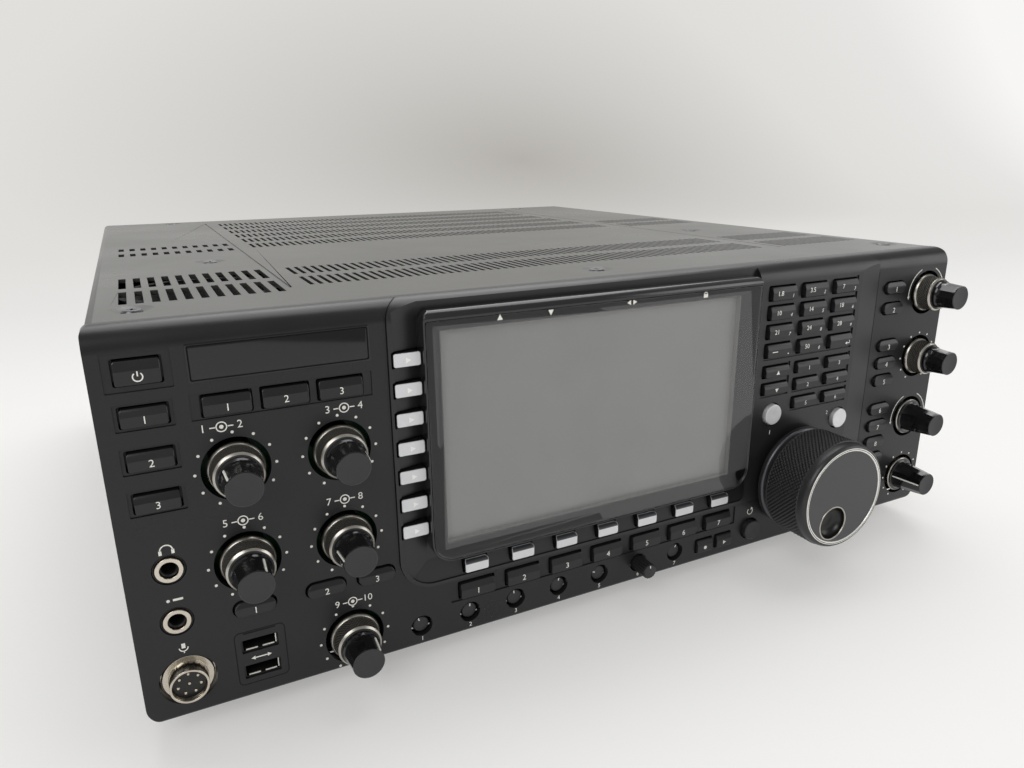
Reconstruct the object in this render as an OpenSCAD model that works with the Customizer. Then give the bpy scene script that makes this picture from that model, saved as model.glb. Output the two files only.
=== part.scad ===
// Tabletop HF transceiver: cast front panel with dials, keys and display on a sheet metal case.
// Front faces -Y, width along X, Z up. Origin: middle of the bounding box at table level.
// Modules work in the panel frame: y = 0 is the panel face, z = 0 the underside of the case.

/* [Case] */
// Width of the front panel
case_w = 425; // [423:1:440]
// Height of the case without its feet
case_h = 149; // [149:1:158]
// Depth from the panel face to the rear face
case_d = 437; // [425:1:460]
// How much narrower the covers are on each side
cover_inset = 1; // [1:0.5:3]
// Thickness of the cover sheet
sheet_t = 2; // [1.8:0.1:2.4]
// Thickness of the chassis sheet
chassis_t = 1.6; // [1.2:0.2:2]
// Outer bend radius of the covers
bend_r = 3; // [3:0.5:5]
// Height of the rubber feet
foot_h = 13; // [9:1:20]
// Radius of the rubber feet
foot_r = 15; // [11:1:18]
// Distance of the feet from the sides
foot_side = 40; // [32:1:60]
// Distance of the feet from the front and the rear
foot_end = 45; // [40:1:70]

/* [Front panel] */
// Thickness of the panel face
panel_t = 3; // [2.6:0.1:3.2]
// Depth of the panel rim back to the cover seam
panel_rim = 10; // [9.5:0.5:12]
// Thickness of the rim wall
rim_t = 2.2; // [1.8:0.1:2.4]
// Radius of the rolled top edge
roll_r = 8.5; // [7:0.5:9]
// How far the panel reaches below the case
panel_low = 2.5; // [2:0.5:4]
// Radius of the upper panel corners
corner_r = 3; // [2.5:0.5:9]
// Radius of the lower panel corners
low_corner_r = 7.5; // [5:0.5:9]
// Depth of the shallow key recesses
recess = 0.6; // [0.4:0.1:1]

/* [Clearances] */
// Gap around every key in its hole
key_gap = 0.7; // [0.6:0.05:0.8]
// Running gap around shafts
run_gap = 0.05; // [0.03:0.01:0.1]
// Gap between parts that are set into each other
fit_gap = 0.15; // [0.1:0.05:0.25]
// Gap around knobs in their wells
well_gap = 1.9; // [1.6:0.1:2]
// Gap between parts that turn past each other
turn_gap = 0.4; // [0.3:0.05:0.6]

/* [Keys] */
// Travel of the keys
key_travel = 1.2; // [0.8:0.1:1.5]
// Corner radius of the keys
key_r = 0.8; // [0.5:0.1:1]
// Width of the wide keys
key_w = 16.2; // [16:0.1:17.4]
// Height of the wide keys
key_h = 7.1; // [7:0.1:7.8]
// Height of the oval keys
oval_h = 5.9; // [5.6:0.1:7.6]
// How far the keys stand out of the panel
key_out = 1.8; // [1:0.1:2.4]
// Width of the small silver keys
silver_w = 10.9; // [10.4:0.1:11.2]
// Height of the small silver keys
silver_h = 5.4; // [5:0.1:5.8]
// Radius of the round keys
round_r = 5.4; // [5:0.1:5.8]
// Pitch of the mode and function keys
mode_pitch = 22.6; // [22:0.1:22.8]
// Pitch of the soft keys beside the display
soft_pitch = 12.1; // [11.6:0.1:12.3]
// Column pitch of the band keypad
band_pitch_x = 21.6; // [21.3:0.1:21.8]
// Row pitch of the band keypad
band_pitch_z = 9.6; // [9.5:0.1:9.7]

/* [Knobs] */
// Distance of the outer columns from the panel sides
edge_col = 15; // [14.6:0.1:15.6]
// Distance of the left knob column from the panel side
knob_col = 41.8; // [41.4:0.1:42.2]
// Pitch of the left knobs
knob_pitch = 37.4; // [37:0.1:37.8]
// Pitch of the right knobs
right_pitch = 36.4; // [36:0.1:36.8]
// Rear radius of the ring knobs
ring_r = 10.2; // [9.8:0.1:10.4]
// Front radius of the ring knobs
ring_front_r = 8.9; // [8.6:0.1:9.2]
// How far the ring knobs stand out
ring_out = 8.8; // [8:0.2:9.6]
// Base radius of the centre knobs
tip_base_r = 7.6; // [7.2:0.1:7.9]
// Front radius of the centre knobs
tip_r = 6.5; // [6.2:0.1:6.8]
// How far the centre knobs stand out
tip_out = 20.3; // [19:0.2:22]
// Radius of the centre shafts
shaft_r = 2; // [1.8:0.1:2.2]
// Radius of the ring knob sleeves
sleeve_r = 3.4; // [3.2:0.1:3.6]
// Radius of the trim knobs
trim_r = 3.9; // [3.6:0.1:4]
// How far the pulled trim knob stands out
trim_out = 10; // [9:0.5:11]

/* [Main dial] */
// Radius of the dial grip
dial_r = 28; // [27:0.5:29]
// How far the dial stands out
dial_out = 35.5; // [33:0.5:38]
// Radius of the dial face plate
dial_face_r = 24.2; // [23.5:0.1:24.6]
// Radius of the finger dimple
dimple_r = 9; // [8:0.2:9.2]

/* [Display] */
// Width of the display bezel
bezel_w = 171.6; // [171.2:0.1:172]
// Height of the display bezel
bezel_h = 107.5; // [107:0.1:108]
// How far the bezel stands out of the panel
bezel_out = 4.5; // [4:0.1:5.5]
// Width of the visible screen
window_w = 151; // [149:0.5:152]
// Height of the visible screen
window_h = 90.5; // [89.5:0.5:91.5]
// Depth from the bezel front to the screen
screen_deep = 4; // [3.6:0.1:4.4]

/* [Vents] */
// Pitch of the fine slots in the top cover
slot_pitch = 4; // [3.9:0.05:4.1]
// Width of the fine slots
slot_w = 1.8; // [1.5:0.1:2]
// Pitch of the wide slots over the speaker
wide_pitch = 5.8; // [5.7:0.05:5.9]
// Width of the wide slots
wide_w = 2.8; // [2.4:0.1:3]

/* [Rear] */
// Radius of the antenna sockets
socket_r = 7.9; // [7.6:0.1:8]
// How far the antenna sockets stand out
socket_out = 14; // [12:0.5:16]
// Size of the fan
fan_w = 80; // [76:1:84]

/* [Hidden] */
$fn = 64;
eps = 0.01;

// The plain sizes below are drawn for a case of 425 x 149 x 437, and follow the case by these shares
w_share = case_w / 425;
h_share = case_h / 149;
d_share = case_d / 437;
r_share = min(w_share, h_share);

// The named panel sizes are squeezed or spread until their row and column fit the case
fit_w = w_share * 309 / (knob_col + knob_pitch + bezel_w + 2 * band_pitch_x + edge_col);
fit_h = h_share * 127.8 / (bezel_h + key_h + silver_h + 2 * trim_r);
fit_r = min(fit_w, fit_h);

// Panel sizes as fitted: w_ width, h_ height, r_ radius, p_ pitch
w_key = key_w * fit_w;
h_key = key_h * fit_h;
w_oval = 15.1 * w_share;
h_oval = oval_h * fit_h;
w_silver = silver_w * fit_w;
h_silver = silver_h * fit_h;
w_bezel = bezel_w * fit_w;
h_bezel = bezel_h * fit_h;
w_window = window_w * fit_w;
h_window = window_h * fit_h;
r_round = round_r * fit_r;
r_ring = ring_r * fit_r;
r_ring_front = ring_front_r * fit_r;
r_tip_base = tip_base_r * fit_r;
r_tip = tip_r * fit_r;
r_trim = trim_r * fit_r;
r_dial = dial_r * fit_r;
r_face = dial_face_r * fit_r;
r_dimple = dimple_r * fit_r;
p_mode = mode_pitch * fit_w;
p_soft = soft_pitch * fit_h;
p_band_x = band_pitch_x * fit_w;
p_band_z = band_pitch_z * fit_h;
p_knob_x = knob_pitch * fit_w;
p_knob_z = knob_pitch * fit_h;
p_right = right_pitch * fit_h;
p_slot = slot_pitch * fit_w;
p_wide = wide_pitch * fit_w;
cover_w = case_w - 2 * cover_inset;
edge_x = case_w / 2 - edge_col * fit_w;
knob_x = -case_w / 2 + knob_col * fit_w;
y_mid = (case_d + socket_out - dial_out) / 2;

// Depth planes behind the panel face
low_roll = 2;
frame_r = 0.4;
flange_y = 4.8;
flange_t = 1;
flange_lip = 1.1;
switch_y = flange_y + flange_t + key_travel + turn_gap;
board_y = 20;
board_t = 1.6;
bulk_y = 24;
pot_y = 6;
sleeve_in = 14;
shaft_in = 17;

// Key positions, [x, z] in the panel frame
power_pos = [[-edge_x, 133.6 * h_share]];
power_size = [14.2 * w_share, 8.3 * h_share];
side_pitch = 15.6 * h_share;
side_pos = [for (i = [0:2]) [-edge_x, 118.1 * h_share - i * side_pitch]];
side_size = [14.7 * w_share, 6.5 * h_share];
vox_pitch = 20 * w_share;
vox_pos = [for (i = [0:2]) [knob_x - 0.5 * w_share + i * vox_pitch, 118.4 * h_share]];
left_oval_x = [knob_x + 0.4 * w_share, -143.2 * w_share, -122.8 * w_share];
left_oval_pos = [for (x = left_oval_x) [x, 37.1 * h_share]];
mode_x = -78.2 * w_share;
mode_pos = [for (i = [0:6]) [mode_x + i * p_mode, 18.8 * h_share]];
func_x = mode_x - 0.3 * w_share;
func_pos = [for (i = [0:6]) [func_x + i * p_mode, 30.5 * h_share]];
soft_x = -105.3 * w_share;
soft_pos = [for (i = [0:6]) [soft_x, 126 * h_share - i * p_soft]];
voice_pos = [for (x = [49.6, 62.2]) [x * w_share, 6.6 * h_share]];
voice_size = [9.7 * w_share, 6.6 * h_share];
round_pos = [for (p = [[80.6, 8.4], [88, 72], [137, 62]]) [p[0] * w_share, p[1] * h_share]];
band_x = 88.3 * w_share;
band_z = 134.6 * h_share;
band_size = [16 * w_share, 6.5 * h_share];
band_pos = [for (i = [0:2], j = [0:3]) [band_x + i * p_band_x, band_z - j * p_band_z]];
memory_size = [16 * w_share, 5.5 * h_share];
memory_z = 94.8 * h_share;
memory_pitch = 9 * h_share;
memory_drop = 19 * h_share;
memory_pos = concat(
    [for (i = [0:2], j = [0:1]) [band_x + i * p_band_x, memory_z - j * memory_pitch]],
    [for (i = [1:2]) [band_x + i * p_band_x, memory_z - memory_drop]]);
right_oval_x = 170.7 * w_share;
right_oval_pos = [for (z = [130.2, 118.9, 98.3, 88.3, 78.3, 61.4, 51.4, 41.4, 31.4])
    [right_oval_x, z * h_share]];

// Knob positions
left_top = 93.7 * h_share;
right_top = 125.2 * h_share;
dual_pos = [[knob_x, left_top], [knob_x + p_knob_x, left_top],
    [knob_x, left_top - p_knob_z], [knob_x + p_knob_x, left_top - p_knob_z],
    [knob_x + p_knob_x, 11.6 * h_share],
    [edge_x, right_top], [edge_x, right_top - p_right]];
single_pos = [for (i = [2:3]) [edge_x, right_top - i * p_right]];
trim_pitch = 22.6 * w_share;
trim_x = -104.4 * w_share;
trim_z = 7.1 * h_share;
trim_pos = [for (i = [0:6]) [trim_x + i * trim_pitch, trim_z]];
pulled = 5;
trim_len = 12;
trim_in = 1.4;
trim_shaft_r = 1.5;
trim_gap = 0.9;
dial_pos = [107 * w_share, 35.5 * h_share];
dial_back = 4;
dial_shaft_r = 3;
well_r = r_ring + well_gap;

// Fascia set into the panel
fascia_x0 = -112.5 * w_share;
fascia_x1 = 157.4 * w_share;
fascia_z0 = 25.2 * h_share;
fascia_low_r = 15 * r_share;
fascia_top_r = 8 * r_share;
fascia_out = 1;
fascia_back = 4.5;
fascia_top_back = 6.5;
fascia_lip = 1.1;
step_x = 143.8 * w_share;
dish_y = 2.5;
dish_x1 = 73.6 * w_share;
bezel_x0 = -99.4 * w_share;
bezel_z0 = 36.8 * h_share;
bezel_low_r = 10 * r_share;
bezel_top_r = 4;
bezel_roll = 3;
lens_t = 1.5;
lens_rim = 0.9;
lens_top = 4;
window_x = -16.8 * w_share;
window_z = 90.9 * h_share;
lcd_rim = 3;
lcd_back = 6;

// Sockets on the panel
jack_pos = [[-edge_x, 59.8 * h_share], [-edge_x, 38.7 * h_share]];
jack_hole_r = 5.85;
jack_ring_r = 4.8;
jack_bore_r = 3.2;
jack_proud = 0.5;
jack_len = 17;
mic_pos = [-edge_x + 0.8 * w_share, 13.2 * h_share];
mic_hole_r = 10.2 * r_share;
mic_flange_r = 9.2 * r_share;
mic_shell_r = 7 * r_share;
mic_plate = 20 * r_share;
mic_wall = 0.9;
mic_out = 4.6;
mic_pin_r = 0.6;
mic_pin_ring = 4.1 * r_share;
usb_x = knob_x + 0.5 * w_share;
usb_pos = [[usb_x, 20.3 * h_share], [usb_x, 9 * h_share]];
usb_size = [12.5, 4.7];
usb_wall = 0.4;
usb_len = 14;
usb_tongue = [10.6, 1.6];
usb_tongue_y = 5.2;

// Case frame behind the panel
case_y0 = panel_rim + 0.3;
rear_t = 2;
inner_r = bend_r - sheet_t;
ear_z = [26 * h_share, 80 * h_share];
inner_x = cover_w / 2 - sheet_t - 0.3;
floor_z = sheet_t + 0.3;
roof_z = case_h - sheet_t - 0.3;
rail_w = 16;
dish_r = 8;
dish_deep = 1;
screw_head_r = 3.8;
screw_head_h = 1;
screw_r = 1.5;
screw_len = 6;
mid_rail = 155 * d_share;
screw_pos = concat([for (x = [1 - edge_x, 0, edge_x - 1]) [x, 30]],
    [for (s = [-1, 1]) [s * 158 * w_share, mid_rail]],
    [for (s = [-1, 1]) [s * 161 * w_share, case_d - 9]]);
seam_x = 137 * w_share;
seam_y = 50 * d_share;
seam_len = 358 * d_share;
seam_w = 0.9;
seam_deep = 0.6;
vent_half = 128 * w_share;
// Rows of slots as [front end, length]
front_rows = [for (row = [[53, 25], [87, 24]]) row * d_share];
back_rows = [for (i = [0:5]) [210.5 + i * 33.8, 22] * d_share];
wide_rows = [for (row = [[42, 30], [81, 30], [201, 13], [228.5, 13]]) row * d_share];
wide_x0 = -200.8 * w_share;
wide_count = 11;
right_rows = [for (row = [[53, 25], [87, 24], [204, 22], [234, 22]]) row * d_share];
right_x0 = 143 * w_share;
right_count = 15;
floor_rows = [for (row = [[180, 60], [260, 60]]) row * d_share];
floor_x0 = -60 * w_share;
floor_pitch = 10 * w_share;
floor_count = 13;
floor_w = 4 * w_share;

// Rear panel and what sits on it
fan_pos = [-80 * w_share, 92 * h_share];
fan_t = 25;
fan_hole_r = fan_w / 2 - 3;
fan_hub_r = 17;
fan_blades = 7;
guard_w = 3;
socket_pos = [for (i = [0:3]) [(60 + i * 34) * w_share, 118 * h_share]];
inlet_pos = [-168 * w_share, 40 * h_share];
inlet_size = [27, 20];
inlet_wall = 1.6;
jack_row = [for (i = [0:7]) [(10 + i * 22) * w_share, 34 * h_share]];
din_row = [for (i = [0:2]) [(70 + i * 30) * w_share, 72 * h_share]];
ground_pos = [190 * w_share, 72 * h_share];

// What stands inside the case
main_z = 30 * h_share;
main_x = [-60 * w_share, 170 * w_share];
main_y = [bulk_y + 60 * d_share, bulk_y + 240 * d_share];
post_x = [for (x = [-190, -60, 60, 190]) x * w_share];
post_z = [26 * h_share, 112 * h_share];
supply_pos = [-inner_x + 12 * w_share, 250 * d_share];
supply_size = [80 * w_share, 130 * d_share, 60 * h_share];
tuner_pos = [60 * w_share, 300 * d_share];
tuner_size = [130 * w_share, 90 * d_share, 90 * h_share];
sink_x = -110 * w_share;
sink_w = 110 * w_share;
sink_y = [278 * d_share, 400 * d_share];
sink_h = 60 * h_share;
speaker_pos = [-170 * w_share, 78 * d_share];
speaker_r = 33 * min(w_share, d_share);

module slab(y0, y1) {
    translate([0, y1, 0]) rotate([90, 0, 0]) linear_extrude(y1 - y0) children();
}

module along_x(x0, x1) {
    translate([x0, 0, 0]) rotate([90, 0, 90]) linear_extrude(x1 - x0) children();
}

module rod(p, y0, y1, r) {
    translate([p[0], y1, p[1]]) rotate([90, 0, 0]) cylinder(h = y1 - y0, r = r);
}

module turned(p) {
    translate([p[0], 0, p[1]]) rotate([90, 0, 0]) rotate_extrude() children();
}

module box2(x0, z0, x1, z1) {
    translate([x0, z0]) square([x1 - x0, z1 - z0]);
}

// Rectangle with its own radius at each corner
module round_box(x0, z0, x1, z1, bl, br, tl, tr) {
    difference() {
        box2(x0, z0, x1, z1);
        box2(x0 - 1, z0 - 1, x0 + bl, z0 + bl);
        box2(x1 - br, z0 - 1, x1 + 1, z0 + br);
        box2(x0 - 1, z1 - tl, x0 + tl, z1 + 1);
        box2(x1 - tr, z1 - tr, x1 + 1, z1 + 1);
    }
    translate([x0 + bl, z0 + bl]) circle(bl);
    translate([x1 - br, z0 + br]) circle(br);
    translate([x0 + tl, z1 - tl]) circle(tl);
    translate([x1 - tr, z1 - tr]) circle(tr);
}

module round_rect(w, h, r) {
    round_box(-w / 2, -h / 2, w / 2, h / 2, r, r, r, r);
}

module rects(list, w, h, g, r) {
    for (p = list) translate(p) round_rect(w + 2 * g, h + 2 * g, r);
}

module ovals(list, w, h, g) {
    for (p = list) translate(p) {
        square([w - h, h + 2 * g], center = true);
        for (s = [-1, 1]) translate([s * (w - h) / 2, 0]) circle(h / 2 + g);
    }
}

module rounds(list, r) {
    for (p = list) translate(p) circle(r);
}

// Side outline with a rolled top front edge
module rolled(y0, y1, z0, z1, r) {
    box2(y0, z0, y1, z1 - r);
    box2(y0 + r, z1 - r - eps, y1, z1);
    translate([y0 + r, z1 - r]) circle(r);
}

module fascia_outline(g) {
    round_box(fascia_x0 - g, fascia_z0 - g, fascia_x1 + g, case_h + g,
        fascia_low_r + g, fascia_low_r + g, fascia_top_r + g, fascia_top_r + g);
}

// Holes of the panel itself, outside the fascia
module panel_holes() {
    rects(power_pos, power_size[0], power_size[1], key_gap, key_r);
    rects(side_pos, side_size[0], side_size[1], key_gap, key_r);
    rects(vox_pos, w_key, h_key, key_gap, key_r);
    rects(mode_pos, w_key, h_key, key_gap, key_r);
    rects(voice_pos, voice_size[0], voice_size[1], key_gap, key_r);
    rounds([round_pos[0]], r_round + key_gap);
    ovals(left_oval_pos, w_oval, h_oval, key_gap);
    ovals(right_oval_pos, w_oval, h_oval, key_gap);
    rounds(dual_pos, well_r);
    rounds(single_pos, well_r);
    rounds(trim_pos, r_trim + trim_gap);
    rounds(jack_pos, jack_hole_r);
    rounds([mic_pos], mic_hole_r);
    rects(usb_pos, usb_size[0], usb_size[1], usb_wall + fit_gap, usb_wall);
}

// Box around a group of keys, wider by gx and taller by gz
module group_frame(list, size, gx, gz) {
    xs = [for (p = list) p[0]];
    zs = [for (p = list) p[1]];
    dx = size[0] / 2 + gx;
    dz = size[1] / 2 + gz;
    round_box(min(xs) - dx, min(zs) - dz, max(xs) + dx, max(zs) + dz, frame_r, frame_r, frame_r, frame_r);
}

// Shallow frames that the key groups of the panel sit in
module panel_recesses() {
    group_frame(power_pos, power_size, 3.4, 2.6);
    for (p = side_pos) group_frame([p], side_size, 1.9, 1.6);
    group_frame(vox_pos, [w_key, h_key], 3.9, 1.3);
    group_frame(mode_pos, [w_key, h_key], 4.2, 1.3);
}

// Shallow frames that the groups of the keypad sit in
module keypad_recesses() {
    frame = 1.5;
    group_frame(band_pos, band_size, frame, frame);
    group_frame([memory_pos[0], memory_pos[1]], memory_size, frame, frame);
    group_frame([for (i = [2:5]) memory_pos[i]], memory_size, frame, frame);
    group_frame([memory_pos[6], memory_pos[7]], memory_size, frame, frame);
}

// Side outline of the panel: a large roll above and a small one below
module panel_side() {
    rolled(0, panel_rim, low_roll - panel_low, case_h, roll_r);
    box2(low_roll, -panel_low, panel_rim, low_roll - panel_low + eps);
    translate([low_roll, low_roll - panel_low]) circle(low_roll);
}

module front_panel() {
    color("#2f3032") difference() {
        intersection() {
            slab(0, panel_rim) round_box(-case_w / 2, -panel_low, case_w / 2, case_h,
                low_corner_r, low_corner_r, corner_r, corner_r);
            along_x(-case_w / 2 - 1, case_w / 2 + 1) panel_side();
        }
        slab(panel_t, panel_rim + 1) round_box(-case_w / 2 + rim_t, rim_t - panel_low, case_w / 2 - rim_t,
            case_h - rim_t - 1, low_corner_r - rim_t, low_corner_r - rim_t, corner_r - rim_t, corner_r - rim_t);
        slab(-1, panel_t + 1) panel_holes();
        slab(-1, recess) panel_recesses();
        slab(-1, fascia_top_back + fit_gap) fascia_outline(fit_gap);
    }
}

module display_fascia() {
    color("#2b2c2e") difference() {
        union() {
            intersection() {
                slab(-fascia_out, fascia_top_back) fascia_outline(0);
                along_x(fascia_x0 - 1, fascia_x1 + 1) difference() {
                    rolled(-fascia_out, 3 * roll_r, 0, case_h, roll_r);
                    box2(fascia_back, -1, 4 * roll_r, case_h - rim_t - 1);
                }
            }
            slab(panel_t, fascia_back) box2(fascia_x0 - fascia_lip, fascia_z0 - fascia_lip,
                fascia_x1 + fascia_lip, case_h - fascia_top_r - fascia_lip);
        }
        fascia_dish();
        fascia_bevel();
        slab(dish_y - eps, fascia_back + 1) translate([window_x, window_z])
            square([lcd_size[0] + 2 * fit_gap, lcd_size[1] + 2 * fit_gap], center = true);
        slab(-fascia_out - 1, fascia_back + 1) fascia_holes();
        slab(-fascia_out - 1, recess - fascia_out) keypad_recesses();
    }
}

lcd_size = [w_window + 2 * lcd_rim, h_window + 2 * lcd_rim];

// The dish around the display: its floor falls from the rim to the bezel
module fascia_dish() {
    top = case_h + 1;
    x0 = fascia_x0 + 2;
    z0 = fascia_z0 + 1.5;
    ramp_x = bezel_x0 - x0 - fit_gap;
    ramp_z = bezel_z0 - z0 - fit_gap;
    front = -fascia_out - 1;
    intersection() {
        translate([0, 0, fascia_z0]) linear_extrude(top - fascia_z0)
            polygon([[x0, front], [x0, 0], [x0 + ramp_x, dish_y], [dish_x1, dish_y], [dish_x1, front]]);
        along_x(x0 - 1, dish_x1 + 1)
            polygon([[front, z0], [0, z0], [dish_y, z0 + ramp_z], [dish_y, top], [front, top]]);
        slab(front, dish_y + 1) round_box(x0, z0, dish_x1, top,
            fascia_low_r - 2, 3, 1, 1);
    }
}

// Long bevel on the right from the keypad field down to the panel face
module fascia_bevel() {
    translate([0, 0, fascia_z0 - 1]) linear_extrude(case_h)
        polygon([[step_x, -fascia_out - 1], [step_x, -fascia_out],
            [fascia_x1 + 1, 0], [fascia_x1 + 1, -fascia_out - 1]]);
}

module fascia_holes() {
    rects(soft_pos, w_silver, h_silver, key_gap, key_r);
    rects(func_pos, w_silver, h_silver, key_gap, key_r);
    rects(band_pos, band_size[0], band_size[1], key_gap, key_r);
    rects(memory_pos, memory_size[0], memory_size[1], key_gap, key_r);
    rounds([round_pos[1], round_pos[2]], r_round + key_gap);
    rounds([dial_pos], dial_shaft_r + 4 * well_gap);
}

module bezel_outline(g) {
    round_box(bezel_x0 + g, bezel_z0 + g, bezel_x0 + w_bezel - g, bezel_z0 + h_bezel - g,
        bezel_low_r - g, bezel_low_r - g, bezel_top_r - g, bezel_top_r - g);
}

module lens_outline(g) {
    rim = lens_rim + g;
    round_box(bezel_x0 + rim, bezel_z0 + rim, bezel_x0 + w_bezel - rim,
        bezel_z0 + h_bezel - lens_top - g, bezel_low_r - rim, bezel_low_r - rim, 1, 1);
}

module display_bezel() {
    color("#262729") difference() {
        intersection() {
            slab(-bezel_out, dish_y) bezel_outline(0);
            along_x(bezel_x0 - 1, bezel_x0 + w_bezel + 1)
                rolled(-bezel_out, dish_y, bezel_z0 - 1, bezel_z0 + h_bezel, bezel_roll);
        }
        slab(-bezel_out - 1, -bezel_out + lens_t) lens_outline(0);
        slab(-bezel_out, dish_y + 1) translate([window_x, window_z])
            square([w_window, h_window], center = true);
        slab(-bezel_out + screen_deep, dish_y + 1) translate([window_x, window_z])
            square([lcd_size[0] + 2 * fit_gap, lcd_size[1] + 2 * fit_gap], center = true);
    }
}

module display_window() {
    color("#8fa0a8") slab(-bezel_out + 0.1, -bezel_out + lens_t) lens_outline(fit_gap);
}

module lcd_panel() {
    color("#7e8284") slab(-bezel_out + screen_deep, lcd_back)
        translate([window_x, window_z]) square(lcd_size, center = true);
}

// Keys: a cap through the hole and a lip behind the wall that keeps it in
module key_set(list, w, h, y0) {
    slab(y0, flange_y) rects(list, w, h, 0, key_r);
    slab(flange_y, flange_y + flange_t) rects(list, w, h, flange_lip, key_r);
}

module oval_set(list, y0) {
    slab(y0, flange_y) ovals(list, w_oval, h_oval, 0);
    slab(flange_y, flange_y + flange_t) ovals(list, w_oval, h_oval, flange_lip);
}

module power_button() { color("#3a3b3d") key_set(power_pos, power_size[0], power_size[1], -key_out); }
module side_keys() { color("#3a3b3d") key_set(side_pos, side_size[0], side_size[1], -key_out); }
module vox_keys() { color("#3a3b3d") key_set(vox_pos, w_key, h_key, -key_out); }
module left_oval_keys() { color("#3a3b3d") oval_set(left_oval_pos, -key_out); }
module right_oval_keys() { color("#3a3b3d") oval_set(right_oval_pos, -key_out); }
module mode_keys() { color("#3a3b3d") key_set(mode_pos, w_key, h_key, -key_out); }
module voice_keys() { color("#3a3b3d") key_set(voice_pos, voice_size[0], voice_size[1], -key_out); }
module soft_keys() { color("#d6d8da") key_set(soft_pos, w_silver, h_silver, -key_out); }

// Function keys have a rounded top front edge
module function_keys() {
    round = 2.4;
    color("#d6d8da") {
        for (p = func_pos) along_x(p[0] - w_silver / 2, p[0] + w_silver / 2)
            rolled(-key_out, flange_y, p[1] - h_silver / 2, p[1] + h_silver / 2, round);
        slab(flange_y, flange_y + flange_t) rects(func_pos, w_silver, h_silver, flange_lip, key_r);
    }
}

module band_keys() {
    color("#3a3b3d") key_set(band_pos, band_size[0], band_size[1], -fascia_out - key_out);
}

module memory_keys() {
    color("#3a3b3d") key_set(memory_pos, memory_size[0], memory_size[1], -fascia_out - key_out);
}

module round_buttons() {
    color("#b9bcbf") for (p = round_pos) {
        rod(p, -fascia_out - key_out, flange_y, r_round);
        rod(p, flange_y - eps, flange_y + flange_t, r_round + flange_lip);
    }
}

// Ring knob on a sleeve, and the centre knob whose shaft runs through it
module ring_knob(p) {
    bore = shaft_r + run_gap;
    band = 1.6;
    edge = 0.5;
    color("#4a4b4d") turned(p) polygon([[bore, -sleeve_in], [sleeve_r, -sleeve_in],
        [sleeve_r, -1], [r_ring - edge, -1], [r_ring, -1 + edge], [r_ring, band - edge],
        [r_ring - edge, band], [r_ring_front, ring_out - band], [r_ring_front, ring_out - edge],
        [r_ring_front - edge, ring_out], [bore, ring_out]]);
}

module tip_knob(p) {
    base = ring_out + turn_gap;
    lip = 1.2;
    edge = 0.5;
    color("#1c1c1e") turned(p) polygon([[0, -shaft_in], [shaft_r, -shaft_in],
        [shaft_r, base], [r_tip_base, base], [r_tip_base, base + lip],
        [r_tip_base - edge, base + lip + edge], [r_tip, tip_out - edge],
        [r_tip - edge, tip_out], [0, tip_out]]);
}

module single_knob(p) {
    lip = 2;
    edge = 0.5;
    out = tip_out - 2;
    color("#1c1c1e") turned(p) polygon([[0, -shaft_in], [shaft_r, -shaft_in], [shaft_r, -1],
        [r_ring - edge, -1], [r_ring, -1 + edge], [r_ring, lip - edge], [r_ring - edge, lip],
        [r_tip_base + edge, lip + edge], [r_tip, out - edge], [r_tip - edge, out], [0, out]]);
}

module trim_knob(i) {
    out = i == pulled ? trim_out : -trim_in;
    edge = 0.4;
    color("#1c1c1e") turned(trim_pos[i]) polygon([[0, -shaft_in], [trim_shaft_r, -shaft_in],
        [trim_shaft_r, out - trim_len], [r_trim, out - trim_len], [r_trim, out - edge],
        [r_trim - edge, out], [0, out]]);
}

module mic_ring_knob() { ring_knob(dual_pos[0]); }
module mic_tip_knob() { tip_knob(dual_pos[0]); }
module speed_ring_knob() { ring_knob(dual_pos[1]); }
module speed_tip_knob() { tip_knob(dual_pos[1]); }
module agc_ring_knob() { ring_knob(dual_pos[2]); }
module agc_tip_knob() { tip_knob(dual_pos[2]); }
module noise_ring_knob() { ring_knob(dual_pos[3]); }
module noise_tip_knob() { tip_knob(dual_pos[3]); }
module volume_ring_knob() { ring_knob(dual_pos[4]); }
module volume_tip_knob() { tip_knob(dual_pos[4]); }
module filter_ring_knob() { ring_knob(dual_pos[5]); }
module filter_tip_knob() { tip_knob(dual_pos[5]); }
module notch_ring_knob() { ring_knob(dual_pos[6]); }
module notch_tip_knob() { tip_knob(dual_pos[6]); }
module offset_knob() { single_knob(single_pos[0]); }
module pitch_knob() { single_knob(single_pos[1]); }
module trim_knob_1() { trim_knob(0); }
module trim_knob_2() { trim_knob(1); }
module trim_knob_3() { trim_knob(2); }
module trim_knob_4() { trim_knob(3); }
module trim_knob_5() { trim_knob(4); }
module trim_knob_6() { trim_knob(5); }
module trim_knob_7() { trim_knob(6); }

// Main dial: grip with a recessed front, finger dimple, and the face plate in the recess
dimple_turn = 246;
dimple_off = r_face - r_dimple - 0.7;
dimple_pos = [dial_pos[0] + dimple_off * cos(dimple_turn), dial_pos[1] + dimple_off * sin(dimple_turn)];
plate_t = 2.5;
dimple_deep = 4;
dimple_ball = (r_dimple * r_dimple + dimple_deep * dimple_deep) / (2 * dimple_deep);

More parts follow.
